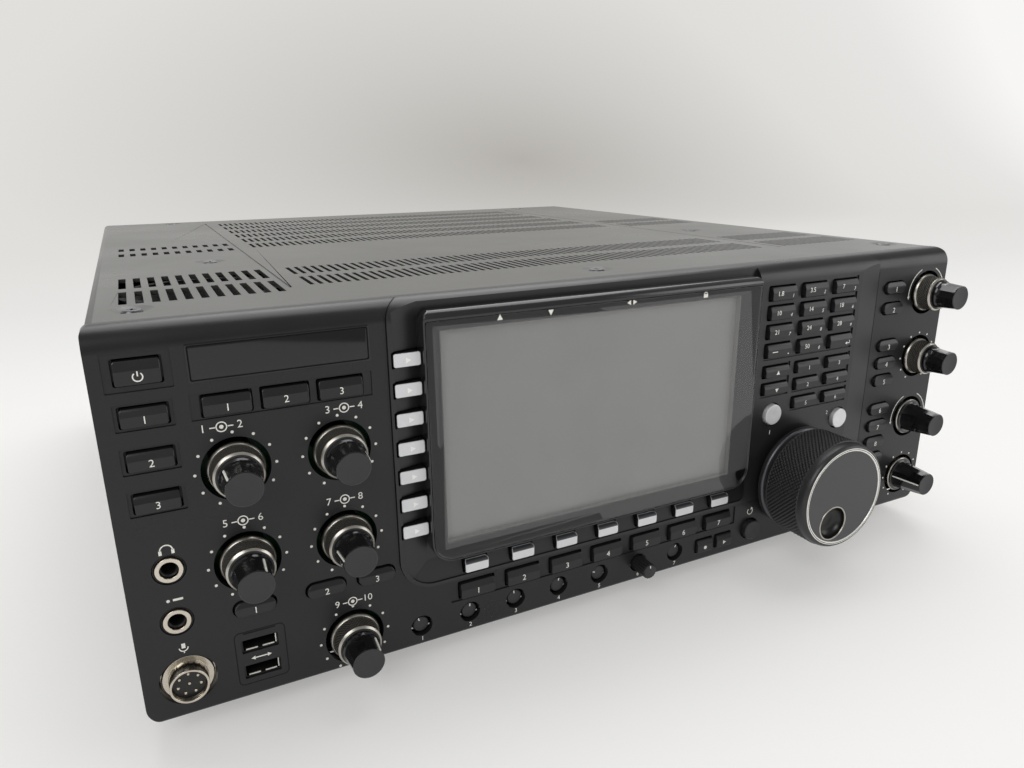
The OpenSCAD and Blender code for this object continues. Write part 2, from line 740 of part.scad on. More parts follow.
module main_dial() {
    edge = 0.8;
    skirt = 3.4;
    waist = r_dial - 2.4;
    front = dial_out - plate_t;
    color("#232325") difference() {
        turned(dial_pos) polygon([[0, -shaft_in], [dial_shaft_r, -shaft_in],
            [dial_shaft_r, dial_back], [r_dial - 2 * edge, dial_back], [r_dial - edge, dial_back + edge],
            [r_dial - edge, dial_back + skirt], [waist, dial_back + skirt + edge],
            [waist, dial_back + skirt + 3 * edge], [r_dial, dial_back + skirt + 4 * edge],
            [r_dial, front - edge], [r_dial - edge, front + edge], [r_dial - 3 * edge, dial_out - eps],
            [r_face + fit_gap, dial_out - eps], [r_face + fit_gap, front], [0, front]]);
        translate([dimple_pos[0], -front - dimple_ball + dimple_deep, dimple_pos[1]])
            sphere(dimple_ball);
    }
}

module dial_plate() {
    color("#3c3d40") difference() {
        rod(dial_pos, -dial_out, -dial_out + plate_t, r_face);
        rod(dimple_pos, -dial_out - 1, -dial_out + plate_t + 1, r_dimple);
    }
}

// Potentiometers, encoder and key switches on the control board
module pot(p, bore, tail) {
    neck_r = 5.5;
    neck_y = 4;
    body_r = 8;
    deep = shaft_in + turn_gap;
    stepped = tail < bore;
    turn_in = stepped ? sleeve_in + turn_gap : deep;
    turned(p) polygon(concat([[neck_r, -neck_y], [neck_r, -pot_y], [body_r, -pot_y],
        [body_r, -board_y], [0, -board_y], [0, -deep]],
        stepped ? [[tail, -deep], [tail, -turn_in]] : [], [[bore, -turn_in], [bore, -neck_y]]));
}

module trim_pot(p) {
    bore = trim_shaft_r + run_gap;
    front = 14;
    body_r = 4.5;
    turned(p) polygon([[bore, -front], [body_r, -front], [body_r, -board_y], [0, -board_y],
        [0, -shaft_in - turn_gap], [bore, -shaft_in - turn_gap]]);
}

module encoder() {
    bore = dial_shaft_r + run_gap;
    neck_r = 6;
    neck_y = 0;
    body_r = 13;
    turned(dial_pos) polygon([[bore, -neck_y], [neck_r, -neck_y], [neck_r, -pot_y], [body_r, -pot_y],
        [body_r, -board_y], [0, -board_y], [0, -shaft_in - turn_gap], [bore, -shaft_in - turn_gap]]);
}

module panel_controls() {
    size = [5, 3.6];
    color("#5c5f63") {
        for (p = dual_pos) pot(p, sleeve_r + run_gap, shaft_r + run_gap);
        for (p = single_pos) pot(p, shaft_r + run_gap, shaft_r + run_gap);
        for (p = trim_pos) trim_pot(p);
        encoder();
        all_keys = concat(power_pos, side_pos, vox_pos, left_oval_pos, right_oval_pos, mode_pos,
            voice_pos, soft_pos, func_pos, band_pos, memory_pos, round_pos);
        slab(switch_y, board_y) for (p = all_keys) translate(p) square(size, center = true);
    }
}

module circuit_boards() {
    margin = 8;
    color("#2f6b45") {
        slab(board_y, board_y + board_t) box2(-case_w / 2 + margin, rim_t + 1,
            case_w / 2 - margin, case_h - rim_t - 2);
        translate([main_x[0], main_y[0], main_z])
            cube([main_x[1] - main_x[0], main_y[1] - main_y[0], board_t]);
    }
}

// Sockets on the front
module phone_jacks() {
    plate = 12.4;
    wall = 1.4;
    color("#c4c6c8") for (p = jack_pos) difference() {
        union() {
            rod(p, -jack_proud, panel_t, jack_ring_r);
            slab(panel_t, jack_len + wall) translate(p) square(plate, center = true);
        }
        rod(p, -jack_proud - 1, jack_len, jack_bore_r);
    }
}

module mic_socket() {
    deep = 4;
    len = 13;
    back = 3.2;
    pin_front = -0.3;
    color("#c4c6c8") {
        difference() {
            union() {
                rod(mic_pos, -mic_out, panel_t, mic_shell_r);
                rod(mic_pos, panel_t / 2, panel_t, mic_flange_r);
                slab(panel_t, len) translate(mic_pos) round_rect(mic_plate, mic_plate, 2);
            }
            rod(mic_pos, -mic_out - 1, deep, mic_shell_r - mic_wall);
        }
        for (i = [0:6]) rod(mic_pos + mic_pin_ring * [sin(i * 360 / 7), cos(i * 360 / 7)],
            pin_front, back + 1, mic_pin_r);
        rod(mic_pos, pin_front, back + 1, mic_pin_r);
    }
}

module usb_ports() {
    lip = 1.8;
    front = 0.9;
    color("#c4c6c8") for (p = usb_pos) {
        difference() {
            union() {
                slab(front, usb_len) rects([p], usb_size[0], usb_size[1], usb_wall, usb_wall);
                slab(panel_t, panel_t + 1) rects([p], usb_size[0], usb_size[1], lip, usb_wall);
            }
            slab(front - 1, usb_len - usb_wall) rects([p], usb_size[0], usb_size[1], 0, usb_wall);
        }
        slab(usb_tongue_y, usb_len - usb_wall / 2) translate(p + [0, 0.8]) square(usb_tongue, center = true);
    }
}

// Chassis: tray with front bulkhead and cross rails that the cover screws bite into
module chassis_outline() {
    round_box(-inner_x, floor_z, inner_x, roof_z, inner_r, inner_r, inner_r, inner_r);
}

module chassis() {
    post_r = 3;
    color("#b4b7b9") difference() {
        union() {
            slab(bulk_y, case_d - rear_t) difference() {
                chassis_outline();
                box2(chassis_t - inner_x, floor_z + chassis_t, inner_x - chassis_t, case_h);
            }
            slab(bulk_y, bulk_y + chassis_t) chassis_outline();
            for (y = [bulk_y, mid_rail - rail_w / 2, case_d - rear_t - rail_w])
                slab(y, y + rail_w) intersection() {
                    chassis_outline();
                    box2(-inner_x, roof_z - screw_len, inner_x, case_h);
                }
            slab(panel_t, bulk_y + 1) for (s = [-1, 1]) translate([s * (inner_x - chassis_t / 2), 0])
                box2(-chassis_t / 2, ear_z[0], chassis_t / 2, ear_z[1]);
            for (x = post_x, z = post_z) rod([x, z], board_y + board_t, bulk_y + eps, post_r);
        }
        for (p = screw_pos) translate([p[0], p[1], 0]) cylinder(h = case_h, r = screw_r + run_gap);
    }
}

module u_half(z0, z1) {
    intersection() {
        difference() {
            round_box(-cover_w / 2, 0, cover_w / 2, case_h, bend_r, bend_r, bend_r, bend_r);
            round_box(-cover_w / 2 + sheet_t, sheet_t, cover_w / 2 - sheet_t, case_h - sheet_t,
                bend_r - sheet_t, bend_r - sheet_t, bend_r - sheet_t, bend_r - sheet_t);
        }
        box2(-cover_w, z0, cover_w, z1);
    }
}

module slot_rows(rows, x0, count, pitch, w) {
    for (row = rows, i = [0:count - 1]) translate([x0 + i * pitch, row[0]]) square([w, row[1]]);
}

module top_vents() {
    count = floor(2 * vent_half / p_slot + eps);
    slot_rows(concat(front_rows, back_rows), -count * p_slot / 2, count, p_slot, slot_w * fit_w);
    slot_rows(wide_rows, wide_x0, wide_count, p_wide, wide_w * fit_w);
    slot_rows(right_rows, right_x0, right_count, p_slot, slot_w * fit_w);
}

module top_cover() {
    y0 = case_y0;
    y1 = case_d - 0.3;
    flat = cover_w / 2 - bend_r - 1;
    color("#4a4a49") difference() {
        union() {
            slab(y0, y1) difference() {
                u_half(case_h / 2 + fit_gap, case_h + 1);
                box2(-flat, case_h / 2, flat, case_h + 1);
            }
            translate([0, 0, case_h - sheet_t]) linear_extrude(sheet_t) difference() {
                box2(-flat, y0, flat, y1);
                top_vents();
                for (p = screw_pos) translate(p) circle(screw_r + fit_gap);
            }
        }
        for (s = [-1, 1]) translate([s * seam_x - seam_w / 2, seam_y, case_h - seam_deep])
            cube([seam_w, seam_len, 1]);
        for (p = screw_pos) translate([p[0], p[1], case_h - dish_deep])
            cylinder(h = dish_deep + eps, r1 = screw_head_r + fit_gap, r2 = dish_r);
    }
}

module bottom_cover() {
    color("#4a4a49") difference() {
        slab(case_y0, case_d - 0.3) u_half(-1, case_h / 2 - fit_gap);
        translate([0, 0, -1]) linear_extrude(sheet_t + 2) slot_rows(floor_rows, floor_x0,
            floor_count, floor_pitch, floor_w);
    }
}

module cover_screws() {
    drive = 1.6;
    top = case_h - dish_deep;
    color("#c9cacb") for (p = screw_pos) translate([p[0], p[1], 0]) difference() {
        union() {
            translate([0, 0, top]) cylinder(h = screw_head_h, r1 = screw_head_r, r2 = screw_head_r - 0.6);
            translate([0, 0, roof_z - screw_len + 0.5]) cylinder(h = top - roof_z + screw_len, r = screw_r);
        }
        translate([0, 0, top + 0.4]) linear_extrude(2) for (a = [0, 90]) rotate(a)
            square([2 * drive, 0.8], center = true);
    }
}

module feet() {
    pad = 1.5;
    color("#1f1f20") for (sx = [-1, 1], y = [foot_end, case_d - foot_end])
        translate([sx * (case_w / 2 - foot_side), y, -foot_h]) {
            rotate_extrude() polygon([[0, 0], [foot_r - pad, 0], [foot_r, pad],
                [foot_r, foot_h], [0, foot_h]]);
        }
}

// Rear panel with fan guard, sockets and mains inlet
module fan_guard() {
    translate(fan_pos) difference() {
        circle(fan_hole_r);
        for (r = [fan_hub_r, fan_hub_r + 10]) difference() {
            circle(r);
            circle(r - guard_w);
        }
        for (a = [45, 135]) rotate(a) square([2 * fan_w, guard_w], center = true);
        circle(guard_w);
    }
}

module rear_panel() {
    color("#a9acae") slab(case_d - rear_t, case_d) difference() {
        chassis_outline();
        fan_guard();
        rounds(socket_pos, socket_r + fit_gap);
        rects([inlet_pos], inlet_size[0], inlet_size[1], fit_gap, 1);
        rounds(jack_row, 4.5);
        rounds(din_row, 8);
        rounds([ground_pos], 2.5);
    }
}

module rear_sockets() {
    pin_r = 2;
    wall = 1.5;
    plate = 25;
    plate_t = 2;
    inside = case_d - rear_t - 6;
    color("#c8c9c6") {
        for (p = socket_pos) {
            difference() {
                union() {
                    rod(p, inside, case_d + socket_out, socket_r);
                    slab(case_d, case_d + plate_t) translate(p) round_rect(plate, plate, 2);
                }
                rod(p, case_d, case_d + socket_out + 1, socket_r - wall);
            }
            difference() {
                rod(p, case_d - eps, case_d + socket_out - wall, pin_r + 1);
                rod(p, case_d + wall, case_d + socket_out, pin_r);
            }
        }
        for (p = jack_row) difference() {
            union() {
                rod(p, inside, case_d + 4, 4.3);
                rod(p, case_d, case_d + 1, 6);
            }
            rod(p, inside + 1, case_d + 5, 1.8);
        }
        for (p = din_row) difference() {
            union() {
                rod(p, inside, case_d + 1.5, 7.8);
                rod(p, case_d, case_d + 1.5, 9.5);
            }
            rod(p, case_d - 0.5, case_d + 2, 6.6);
        }
        rod(ground_pos, inside, case_d + 12, 2.3);
        rod(ground_pos, case_d, case_d + 2, 5);
        rod(ground_pos, case_d + 5, case_d + 9, 5.5);
    }
}

module mains_inlet() {
    lip = 3;
    deep = 16;
    blade = [2, 4.2];
    blades = [[-7, -2], [7, -2], [0, 3]];
    color("#1f1f20") {
        difference() {
            union() {
                slab(case_d - rear_t - deep - 2, case_d + 1)
                    rects([inlet_pos], inlet_size[0], inlet_size[1], 0, 1);
                slab(case_d, case_d + 2) rects([inlet_pos], inlet_size[0], inlet_size[1], lip, 1);
            }
            slab(case_d - rear_t - deep, case_d + 3) rects([inlet_pos],
                inlet_size[0], inlet_size[1], -inlet_wall, inlet_wall);
        }
        slab(case_d - rear_t - deep - 1, case_d - 4) for (b = blades) translate(inlet_pos + b)
            square(blade, center = true);
    }
}

module fan_frame() {
    y1 = case_d - rear_t;
    arm = 5;
    arm_t = 3;
    pin_r = 2;
    color("#1f1f20") {
        difference() {
            slab(y1 - fan_t, y1) translate(fan_pos) difference() {
                round_rect(fan_w, fan_w, 5);
                circle(fan_hole_r);
            }
        }
        slab(y1 - fan_t, y1 - fan_t + arm_t) translate(fan_pos) {
            circle(fan_hub_r - 3);
            for (a = [45, 135]) rotate(a) square([2 * fan_hole_r + 2, arm], center = true);
        }
        rod(fan_pos, y1 - fan_t + arm_t - eps, y1 - 6, pin_r);
    }
}

module fan_rotor() {
    y1 = case_d - rear_t;
    back = y1 - fan_t + 3.6;
    hub_len = 17;
    blade_t = 1.8;
    tilt = 38;
    tip = fan_hole_r - 1.5;
    color("#2a2a2b") difference() {
        union() {
            rod(fan_pos, back, back + hub_len, fan_hub_r);
            intersection() {
                rod(fan_pos, back, back + hub_len, tip);
                for (i = [0:fan_blades - 1]) translate([fan_pos[0], back + hub_len / 2, fan_pos[1]])
                    rotate([0, i * 360 / fan_blades, 0]) rotate([tilt, 0, 0])
                    translate([fan_hub_r - 2, -fan_w / 2, -blade_t / 2]) cube([tip, fan_w, blade_t]);
            }
        }
        rod(fan_pos, back - 1, y1 - 6 + turn_gap, 2 + run_gap);
    }
}

module internal_modules() {
    z0 = floor_z + chassis_t;
    inset = [2 * w_share, 4 * d_share];
    color("#9da1a4") {
        translate([supply_pos[0], supply_pos[1], z0]) cube(supply_size);
        translate([tuner_pos[0], tuner_pos[1], z0]) cube(tuner_size);
        for (x = [main_x[0] + inset[0], main_x[1] - 2 * inset[0]],
            y = [main_y[0] + inset[1], main_y[1] - inset[1]])
            translate([x, y, z0]) cylinder(h = main_z - z0, r = 3);
    }
}

module heat_sink() {
    fin = 2.4;
    count = 12;
    base = 6;
    z0 = floor_z + chassis_t;
    step = (sink_w - fin) / (count - 1);
    color("#a9adb0") slab(sink_y[0], sink_y[1]) translate([sink_x, z0]) {
        square([sink_w, base]);
        for (i = [0:count - 1]) translate([i * step, base - eps]) square([fin, sink_h]);
    }
}

module speaker() {
    u = speaker_r / 33;
    color("#242526") translate([speaker_pos[0], speaker_pos[1], case_h - sheet_t]) rotate([180, 0, 0])
        rotate_extrude() polygon(u * [[0, 6], [14, 8], [29, 1], [29, 0], [33, 0], [33, 3],
            [17, 14], [17, 24], [0, 24]]);
}

module placed() {
    translate([0, -y_mid, foot_h]) children();
}

placed() front_panel();
placed() display_fascia();
placed() display_bezel();
placed() display_window();
placed() lcd_panel();
placed() top_cover();
placed() bottom_cover();
placed() chassis();
placed() rear_panel();
placed() feet();
placed() cover_screws();
placed() circuit_boards();
placed() panel_controls();
placed() phone_jacks();
placed() mic_socket();
placed() usb_ports();
placed() internal_modules();
placed() heat_sink();
placed() fan_frame();
placed() fan_rotor();
placed() rear_sockets();
placed() mains_inlet();
placed() speaker();
placed() main_dial();
placed() dial_plate();
placed() mic_ring_knob();
placed() mic_tip_knob();
placed() speed_ring_knob();
placed() speed_tip_knob();
placed() agc_ring_knob();
placed() agc_tip_knob();
placed() noise_ring_knob();
placed() noise_tip_knob();
placed() volume_ring_knob();
placed() volume_tip_knob();
placed() filter_ring_knob();
placed() filter_tip_knob();
placed() notch_ring_knob();
placed() notch_tip_knob();
placed() offset_knob();
placed() pitch_knob();
placed() trim_knob_1();
placed() trim_knob_2();
placed() trim_knob_3();
placed() trim_knob_4();
placed() trim_knob_5();
placed() trim_knob_6();
placed() trim_knob_7();
placed() power_button();
placed() side_keys();
placed() vox_keys();
placed() left_oval_keys();
placed() right_oval_keys();
placed() mode_keys();
placed() voice_keys();
placed() soft_keys();
placed() function_keys();
placed() band_keys();
placed() memory_keys();
placed() round_buttons();
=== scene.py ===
"""Looks of a tabletop HF transceiver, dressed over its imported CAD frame.

Sizes are millimetres in the panel frame: x to the right seen from the front, y = 0 on
the panel face and growing to the rear, z = 0 on the underside of the case. spot() turns
them into metres in the shared frame.
"""

import logging
import math
from dataclasses import dataclass, field
from enum import Enum
from typing import Any, Callable, Optional, Sequence

import bmesh
import bpy
from mathutils import Matrix, Vector


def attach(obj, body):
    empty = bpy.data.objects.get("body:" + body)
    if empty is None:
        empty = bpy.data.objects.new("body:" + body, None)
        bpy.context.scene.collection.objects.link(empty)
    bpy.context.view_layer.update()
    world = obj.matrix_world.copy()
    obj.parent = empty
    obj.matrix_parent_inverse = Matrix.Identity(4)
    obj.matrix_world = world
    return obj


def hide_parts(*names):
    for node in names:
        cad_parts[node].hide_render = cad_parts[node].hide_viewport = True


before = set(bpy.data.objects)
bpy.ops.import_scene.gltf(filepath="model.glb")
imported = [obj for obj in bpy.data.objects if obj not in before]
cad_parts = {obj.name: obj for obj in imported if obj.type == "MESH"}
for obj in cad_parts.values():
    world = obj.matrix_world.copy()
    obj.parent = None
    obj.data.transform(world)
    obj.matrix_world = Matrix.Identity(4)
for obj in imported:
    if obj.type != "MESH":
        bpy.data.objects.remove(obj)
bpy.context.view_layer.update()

LOG = logging.getLogger("transceiver")
MM = 0.001
DEPTH_MIDDLE = 207.75
FOOT_HEIGHT = 13.0
INK_LIFT = 0.05
INK_SINK = 0.04
REAR_FACE = 437.0
DOUBLES = 1e-7
DOT_CORNERS = 16
ARC_STEP = 6
DIGIT_SCALE = 1.42
TOOTH_POINTS = 8
FULL_TURN = 2 * math.pi

# Noise of every finish: a fine pattern, and a slow wander that sets where it is duller
FINE_NOISE = {"Detail": 3.0, "Roughness": 0.6}
SLOW_NOISE = {"Detail": 4.0, "Roughness": 0.55}
FINE_SHARE = 0.7
TONE_RANGE = (0.6, 1.1)
DULL_RANGE = (0.3, 0.7)
LEAST_ROUGHNESS = 0.02
COAT_ROUGHNESS = 0.08
DRAWN_STRETCH = 0.03

Point = tuple[float, float]
Profile = Sequence[Point]
RadiusShape = Callable[[float, float, float], float]

# Places of the knobs, with the pointers of the centre knobs in degrees clockwise from the top
KNOB_PAIRS: dict[str, tuple[Point, Optional[float]]] = {
    "mic": ((-170.7, 93.7), -50.0),
    "speed": ((-133.3, 93.7), 72.0),
    "agc": ((-170.7, 56.3), 37.0),
    "noise": ((-133.3, 56.3), -75.0),
    "volume": ((-133.3, 11.6), 50.0),
    "filter": ((197.5, 125.2), None),
    "notch": ((197.5, 88.8), 80.0),
}
SINGLE_KNOBS: dict[str, tuple[Point, Optional[float]]] = {
    "offset": ((197.5, 52.4), None),
    "pitch": ((197.5, 16.0), -85.0),
}
KEY_STEP = 22.6
TRIM_PLACES = [(-104.4 + KEY_STEP * i, 7.1) for i in range(7)]
TRIM_TURNS = (-20.0, 10.0, -5.0, 15.0, -70.0, 0.0, 30.0)
PULLED_TRIM = 5
TRIM_IN = -1.4
TRIM_PULLED_OUT = 10.0
ANTENNA_PLACES = [(60.0 + 34.0 * i, 118.0) for i in range(4)]


def spot(x: float, y: float, z: float) -> Vector:
    """Turn panel millimetres into the shared frame.

    Args:
        x: Millimetres to the right of the middle.
        y: Millimetres behind the panel face.
        z: Millimetres above the underside of the case.

    Returns:
        The place in metres.
    """
    return Vector((x * MM, (y - DEPTH_MIDDLE) * MM, (z + FOOT_HEIGHT) * MM))


def linear(code: str) -> tuple[float, float, float, float]:
    """Turn an sRGB hex colour into a linear one.

    Args:
        code: Colour as #rrggbb.

    Returns:
        Linear red, green, blue and alpha.
    """
    parts = [int(code[i : i + 2], 16) / 255 for i in (1, 3, 5)]
    low = [p / 12.92 if p <= 0.04045 else ((p + 0.055) / 1.055) ** 2.4 for p in parts]
    return (low[0], low[1], low[2], 1.0)


def on_circle(centre: Point, r: float, turn: float) -> Point:
    """Give the point at a radius and an angle in radians clockwise from the top."""
    return (centre[0] + r * math.sin(turn), centre[1] + r * math.cos(turn))


def rectangle(x0: float, z0: float, x1: float, z1: float) -> list[Point]:
    """Give the corners of a rectangle, anticlockwise from the lower left."""
    return [(x0, z0), (x1, z0), (x1, z1), (x0, z1)]


def add_node(
    tree: bpy.types.NodeTree,
    kind: str,
    settings: Optional[dict[str, Any]] = None,
    inputs: Optional[dict[Any, Any]] = None,
) -> bpy.types.Node:
    """Add one node with its settings and links.

    Args:
        tree: Node tree to add to.
        kind: Blender's name for the node type.
        settings: Attributes to set on the node.
        inputs: Values, or sockets to link, by input name or index.

    Returns:
        The new node.
    """
    node = tree.nodes.new(kind)
    for name, value in (settings or {}).items():
        setattr(node, name, value)
    for name, value in (inputs or {}).items():
        if isinstance(value, bpy.types.NodeSocket):
            tree.links.new(value, node.inputs[name])
        else:
            node.inputs[name].default_value = value
    return node


class Surface(Enum):
    """How a surface was made."""

    SPRAYED = "sprayed"
    MOULDED = "moulded"
    PLATED = "plated"
    PRINTED = "printed"
    DRAWN_ALONG_X = "drawn along x"

    @property
    def stretch(self) -> tuple[float, float, float]:
        """Give the stretch of the fine pattern along x, y and z."""
        return (DRAWN_STRETCH if self is Surface.DRAWN_ALONG_X else 1.0, 1.0, 1.0)


@dataclass(frozen=True)
class Finish:
    """A real material and the way its surface was made.

    Args:
        name: Common name of the material and its surface.
        colour: Main tone, sRGB hex.
        shade: Second tone of the fine pattern, sRGB hex.
        roughness: Middle roughness.
        grain: Size of the fine pattern in millimetres.
        surface: How the surface was made.
        depth: Height of the fine pattern in millimetres.
        swing: How far the roughness wanders over the piece.
        metallic: 1 for a bare metal.
        ior: Index of refraction of what is not metal.
        coat: Weight of a clear top coat.
        clear: Weight of transmission.
        cloud: Size of the slow wander in millimetres.
    """

    name: str
    colour: str
    shade: str
    roughness: float
    grain: float
    surface: Surface
    depth: float = 0.01
    swing: float = 0.05
    metallic: float = 0.0
    ior: float = 1.5
    coat: float = 0.0
    clear: float = 0.0
    cloud: float = 40.0

    def material(self) -> bpy.types.Material:
        """Give the Blender material, built once for each finish."""
        known = bpy.data.materials.get(self.name)
        if known:
            return known
        made = bpy.data.materials.new(self.name)
        made.use_nodes = True
        tree = made.node_tree
        tree.nodes.clear()
        place = add_node(tree, "ShaderNodeTexCoord").outputs["Object"]
        along = add_node(
            tree,
            "ShaderNodeMapping",
            inputs={"Vector": place, "Scale": self.surface.stretch},
        ).outputs["Vector"]
        fine = add_node(
            tree,
            "ShaderNodeTexNoise",
            inputs={"Vector": along, "Scale": 1 / (self.grain * MM), **FINE_NOISE},
        ).outputs["Fac"]
        slow = add_node(
            tree,
            "ShaderNodeTexNoise",
            inputs={"Vector": place, "Scale": 1 / (self.cloud * MM), **SLOW_NOISE},
        ).outputs["Fac"]
        mixed = add_node(
            tree,
            "ShaderNodeMath",
            {"operation": "MULTIPLY_ADD", "use_clamp": True},
            {0: fine, 1: FINE_SHARE, 2: slow},
        ).outputs["Value"]
        spread = add_node(
            tree,
            "ShaderNodeMapRange",
            inputs={"Value": mixed, "From Min": TONE_RANGE[0], "From Max": TONE_RANGE[1]},
        ).outputs["Result"]
        tone = add_node(
            tree,
            "ShaderNodeMix",
            {"data_type": "RGBA"},
            {"Factor": spread, 6: linear(self.colour), 7: linear(self.shade)},
        ).outputs[2]
        dull = add_node(
            tree,
            "ShaderNodeMapRange",
            inputs={
                "Value": slow,
                "From Min": DULL_RANGE[0],
                "From Max": DULL_RANGE[1],
                "To Min": max(LEAST_ROUGHNESS, self.roughness - self.swing),
                "To Max": min(1.0, self.roughness + self.swing),
            },
        ).outputs["Result"]
        relief = add_node(
            tree,
            "ShaderNodeBump",
            inputs={"Height": fine, "Strength": 1.0, "Distance": self.depth * MM},
        ).outputs["Normal"]
        shader = add_node(
            tree,
            "ShaderNodeBsdfPrincipled",
            inputs={
                "Base Color": tone,
                "Roughness": dull,
                "Normal": relief,
                "Metallic": self.metallic,
                "IOR": self.ior,
                "Coat Weight": self.coat,
                "Coat Roughness": COAT_ROUGHNESS,
                "Transmission Weight": self.clear,
            },
        )
        surface = shader.outputs["BSDF"]
        if self.clear:
            rays = add_node(tree, "ShaderNodeLightPath").outputs
            eye = add_node(
                tree,
                "ShaderNodeMath",
                {"operation": "MAXIMUM"},
                {0: rays["Is Camera Ray"], 1: rays["Is Transmission Ray"]},
            ).outputs["Value"]
            glass = add_node(
                tree,
                "ShaderNodeMath",
                {"operation": "SUBTRACT", "use_clamp": True},
                {0: eye, 1: rays["Is Shadow Ray"]},
            ).outputs["Value"]
            open_air = add_node(tree, "ShaderNodeBsdfTransparent").outputs["BSDF"]
            surface = add_node(
                tree, "ShaderNodeMixShader", inputs={0: glass, 1: open_air, 2: surface}
            ).outputs["Shader"]
        add_node(tree, "ShaderNodeOutputMaterial", inputs={"Surface": surface})
        made.diffuse_color = linear(self.colour)
        return made


# Die-cast panel, satin charcoal paint with a fine sprayed texture: soft sheen at low angles.
# The texture is about 0.15 mm on the real panel and is drawn at 0.45 mm so that it shows.
PANEL_PAINT = Finish("cast_aluminium_sprayed_charcoal", "#1c1c1e", "#222224", 0.31, 0.45,
                     Surface.SPRAYED, depth=0.012, ior=1.42)
# Folded steel in charcoal paint, its colour lightened to paint the pale grey sheen it takes at a low angle.
COVER_PAINT_PAINTED_SHEEN = Finish("folded_steel_charcoal_painted_sheen", "#3f3f3d", "#464643", 0.3, 0.5,
                     Surface.SPRAYED, depth=0.014, ior=1.55, cloud=90.0)
# Moulded ABS fascia, finely spark-eroded: even dark satin.
FASCIA_PLASTIC = Finish("abs_moulded_fine_texture", "#1c1c1e", "#222224", 0.34, 0.4,
                        Surface.MOULDED, depth=0.008)
# Polished ABS bezel: near black with sharp reflections along its rolled top.
BEZEL_PLASTIC = Finish("abs_moulded_polished", "#1c1c1e", "#212123", 0.22, 0.6,
                       Surface.MOULDED, depth=0.002, coat=0.2)
# Cast acrylic screen cover: clear, with a hard thin reflection.
WINDOW_ACRYLIC = Finish("acrylic_clear_polished", "#f4f6f5", "#ffffff", 0.03, 0.8,
                        Surface.MOULDED, depth=0.0, swing=0.01, ior=1.49, clear=1.0)
# Anti-glare film of a switched-off screen, flat grey: its light tone is a painted reflection on the dark
# film.
LCD_FILM_PAINTED_REFLECTION = Finish("polariser_film_painted_reflection", "#787877", "#797978", 0.5, 0.3,
                  Surface.MOULDED, depth=0.0, cloud=120.0)
# Foam gasket between screen and cover: dull grey.
GASKET = Finish("foam_gasket_grey", "#6c6c6a", "#646462", 0.85, 0.4, Surface.MOULDED, depth=0.02)
# Key caps, moulded with a low sheen: the sloped top edge catches the light.
KEY_PLASTIC = Finish("abs_key_caps_semi_gloss", "#161618", "#1c1c1e", 0.36, 0.35,
                     Surface.MOULDED, depth=0.003)
# Silver keys: metallic paint on moulded caps, pale and satin.
SILVER_KEYS = Finish("silver_painted_key_caps", "#e2e3e6", "#d8d9dc", 0.34, 0.3,
                     Surface.SPRAYED, depth=0.004, metallic=0.2)
# The same paint on the rolled tops of the lower silver keys, darkened as painted shade and dark reflection of
# the bezel.
SILVER_CROWN_PAINTED_SHADE = Finish("silver_key_crowns_painted_shade", "#515255", "#494a4d", 0.4, 0.3,
                      Surface.SPRAYED, depth=0.004, metallic=0.2)
# Spun aluminium buttons: bright, with turning marks made in the mesh.
SPUN_ALUMINIUM = Finish("aluminium_spun", "#e6e7e8", "#dcddde", 0.38, 0.25,
                        Surface.PLATED, depth=0.002, metallic=0.5)
# Gloss black knobs: deep black with long bright reflections on the flutes.
KNOB_GLOSS = Finish("phenolic_knob_polished", "#111113", "#161618", 0.14, 0.5,
                    Surface.MOULDED, depth=0.001, coat=0.3)
# Matte faces of the knobs: even dark grey.
KNOB_FACE = Finish("phenolic_knob_face_blasted", "#2c2c2f", "#323235", 0.58, 0.25,
                   Surface.MOULDED, depth=0.01)
# Knurled bands of the ring knobs: dark anodised aluminium with a warm cast.
RING_ANODISED = Finish("aluminium_knurled_dark_anodised", "#4c4a46", "#42403c", 0.42, 0.3,
                       Surface.PLATED, depth=0.003, metallic=0.8)
# Diamond-turned edges of ring knobs, knob skirts and the dial's dimple: bright warm silver.
TURNED_EDGE = Finish("aluminium_diamond_turned", "#b9b5ac", "#aeaaa2", 0.3, 0.2,
                     Surface.PLATED, depth=0.001, metallic=1.0)
# Knurled grip of the main dial and the groove in its face: black anodised, satin.
DIAL_GRIP = Finish("aluminium_knurled_black_anodised", "#161618", "#1c1c1e", 0.5, 0.3,
                   Surface.PLATED, depth=0.006)
# Painted collar and skirt of the main dial: smooth dark grey.
DIAL_COLLAR = Finish("soft_paint_dial_collar", "#232325", "#292a2b", 0.36, 0.3,
                     Surface.SPRAYED, depth=0.004)
# Turned shoulder of the dial's skirt, dark anodised metal lightened to paint the light arc of its highlight.
DIAL_SHOULDER_PAINTED_HIGHLIGHT = Finish("dial_shoulder_painted_highlight", "#616166", "#58585c", 0.36, 0.2,
                       Surface.PLATED, depth=0.001, metallic=0.9)
# Bright ring round the dial's face: white silver.
DIAL_RING = Finish("aluminium_bright_turned", "#f0efea", "#e6e5e0", 0.36, 0.2,
                   Surface.PLATED, depth=0.001, metallic=0.6)
# Face plate of the main dial: blasted and anodised, mid grey.
DIAL_FACE = Finish("aluminium_blasted_anodised", "#47474a", "#4d4d50", 0.5, 0.25,
                   Surface.PLATED, depth=0.006, metallic=0.25)
# Nickel plated brass of sockets and jacks: warm silver.
NICKEL = Finish("brass_nickel_plated", "#d6cfc2", "#c6beb0", 0.2, 0.4,
                Surface.PLATED, depth=0.002, metallic=1.0, swing=0.08)
# Tin plated shells of the ports, darkened as painted shade where they lie in shade.
PORT_SHELL_PAINTED_SHADE = Finish("steel_tin_plated_painted_shade", "#3a3936", "#302f2d", 0.45, 0.4,
                    Surface.PLATED, depth=0.002, metallic=0.6)
# Gold flashed contacts.
GOLD = Finish("brass_gold_flashed", "#e0c48a", "#cfb277", 0.22, 0.3,
              Surface.PLATED, depth=0.002, metallic=1.0)
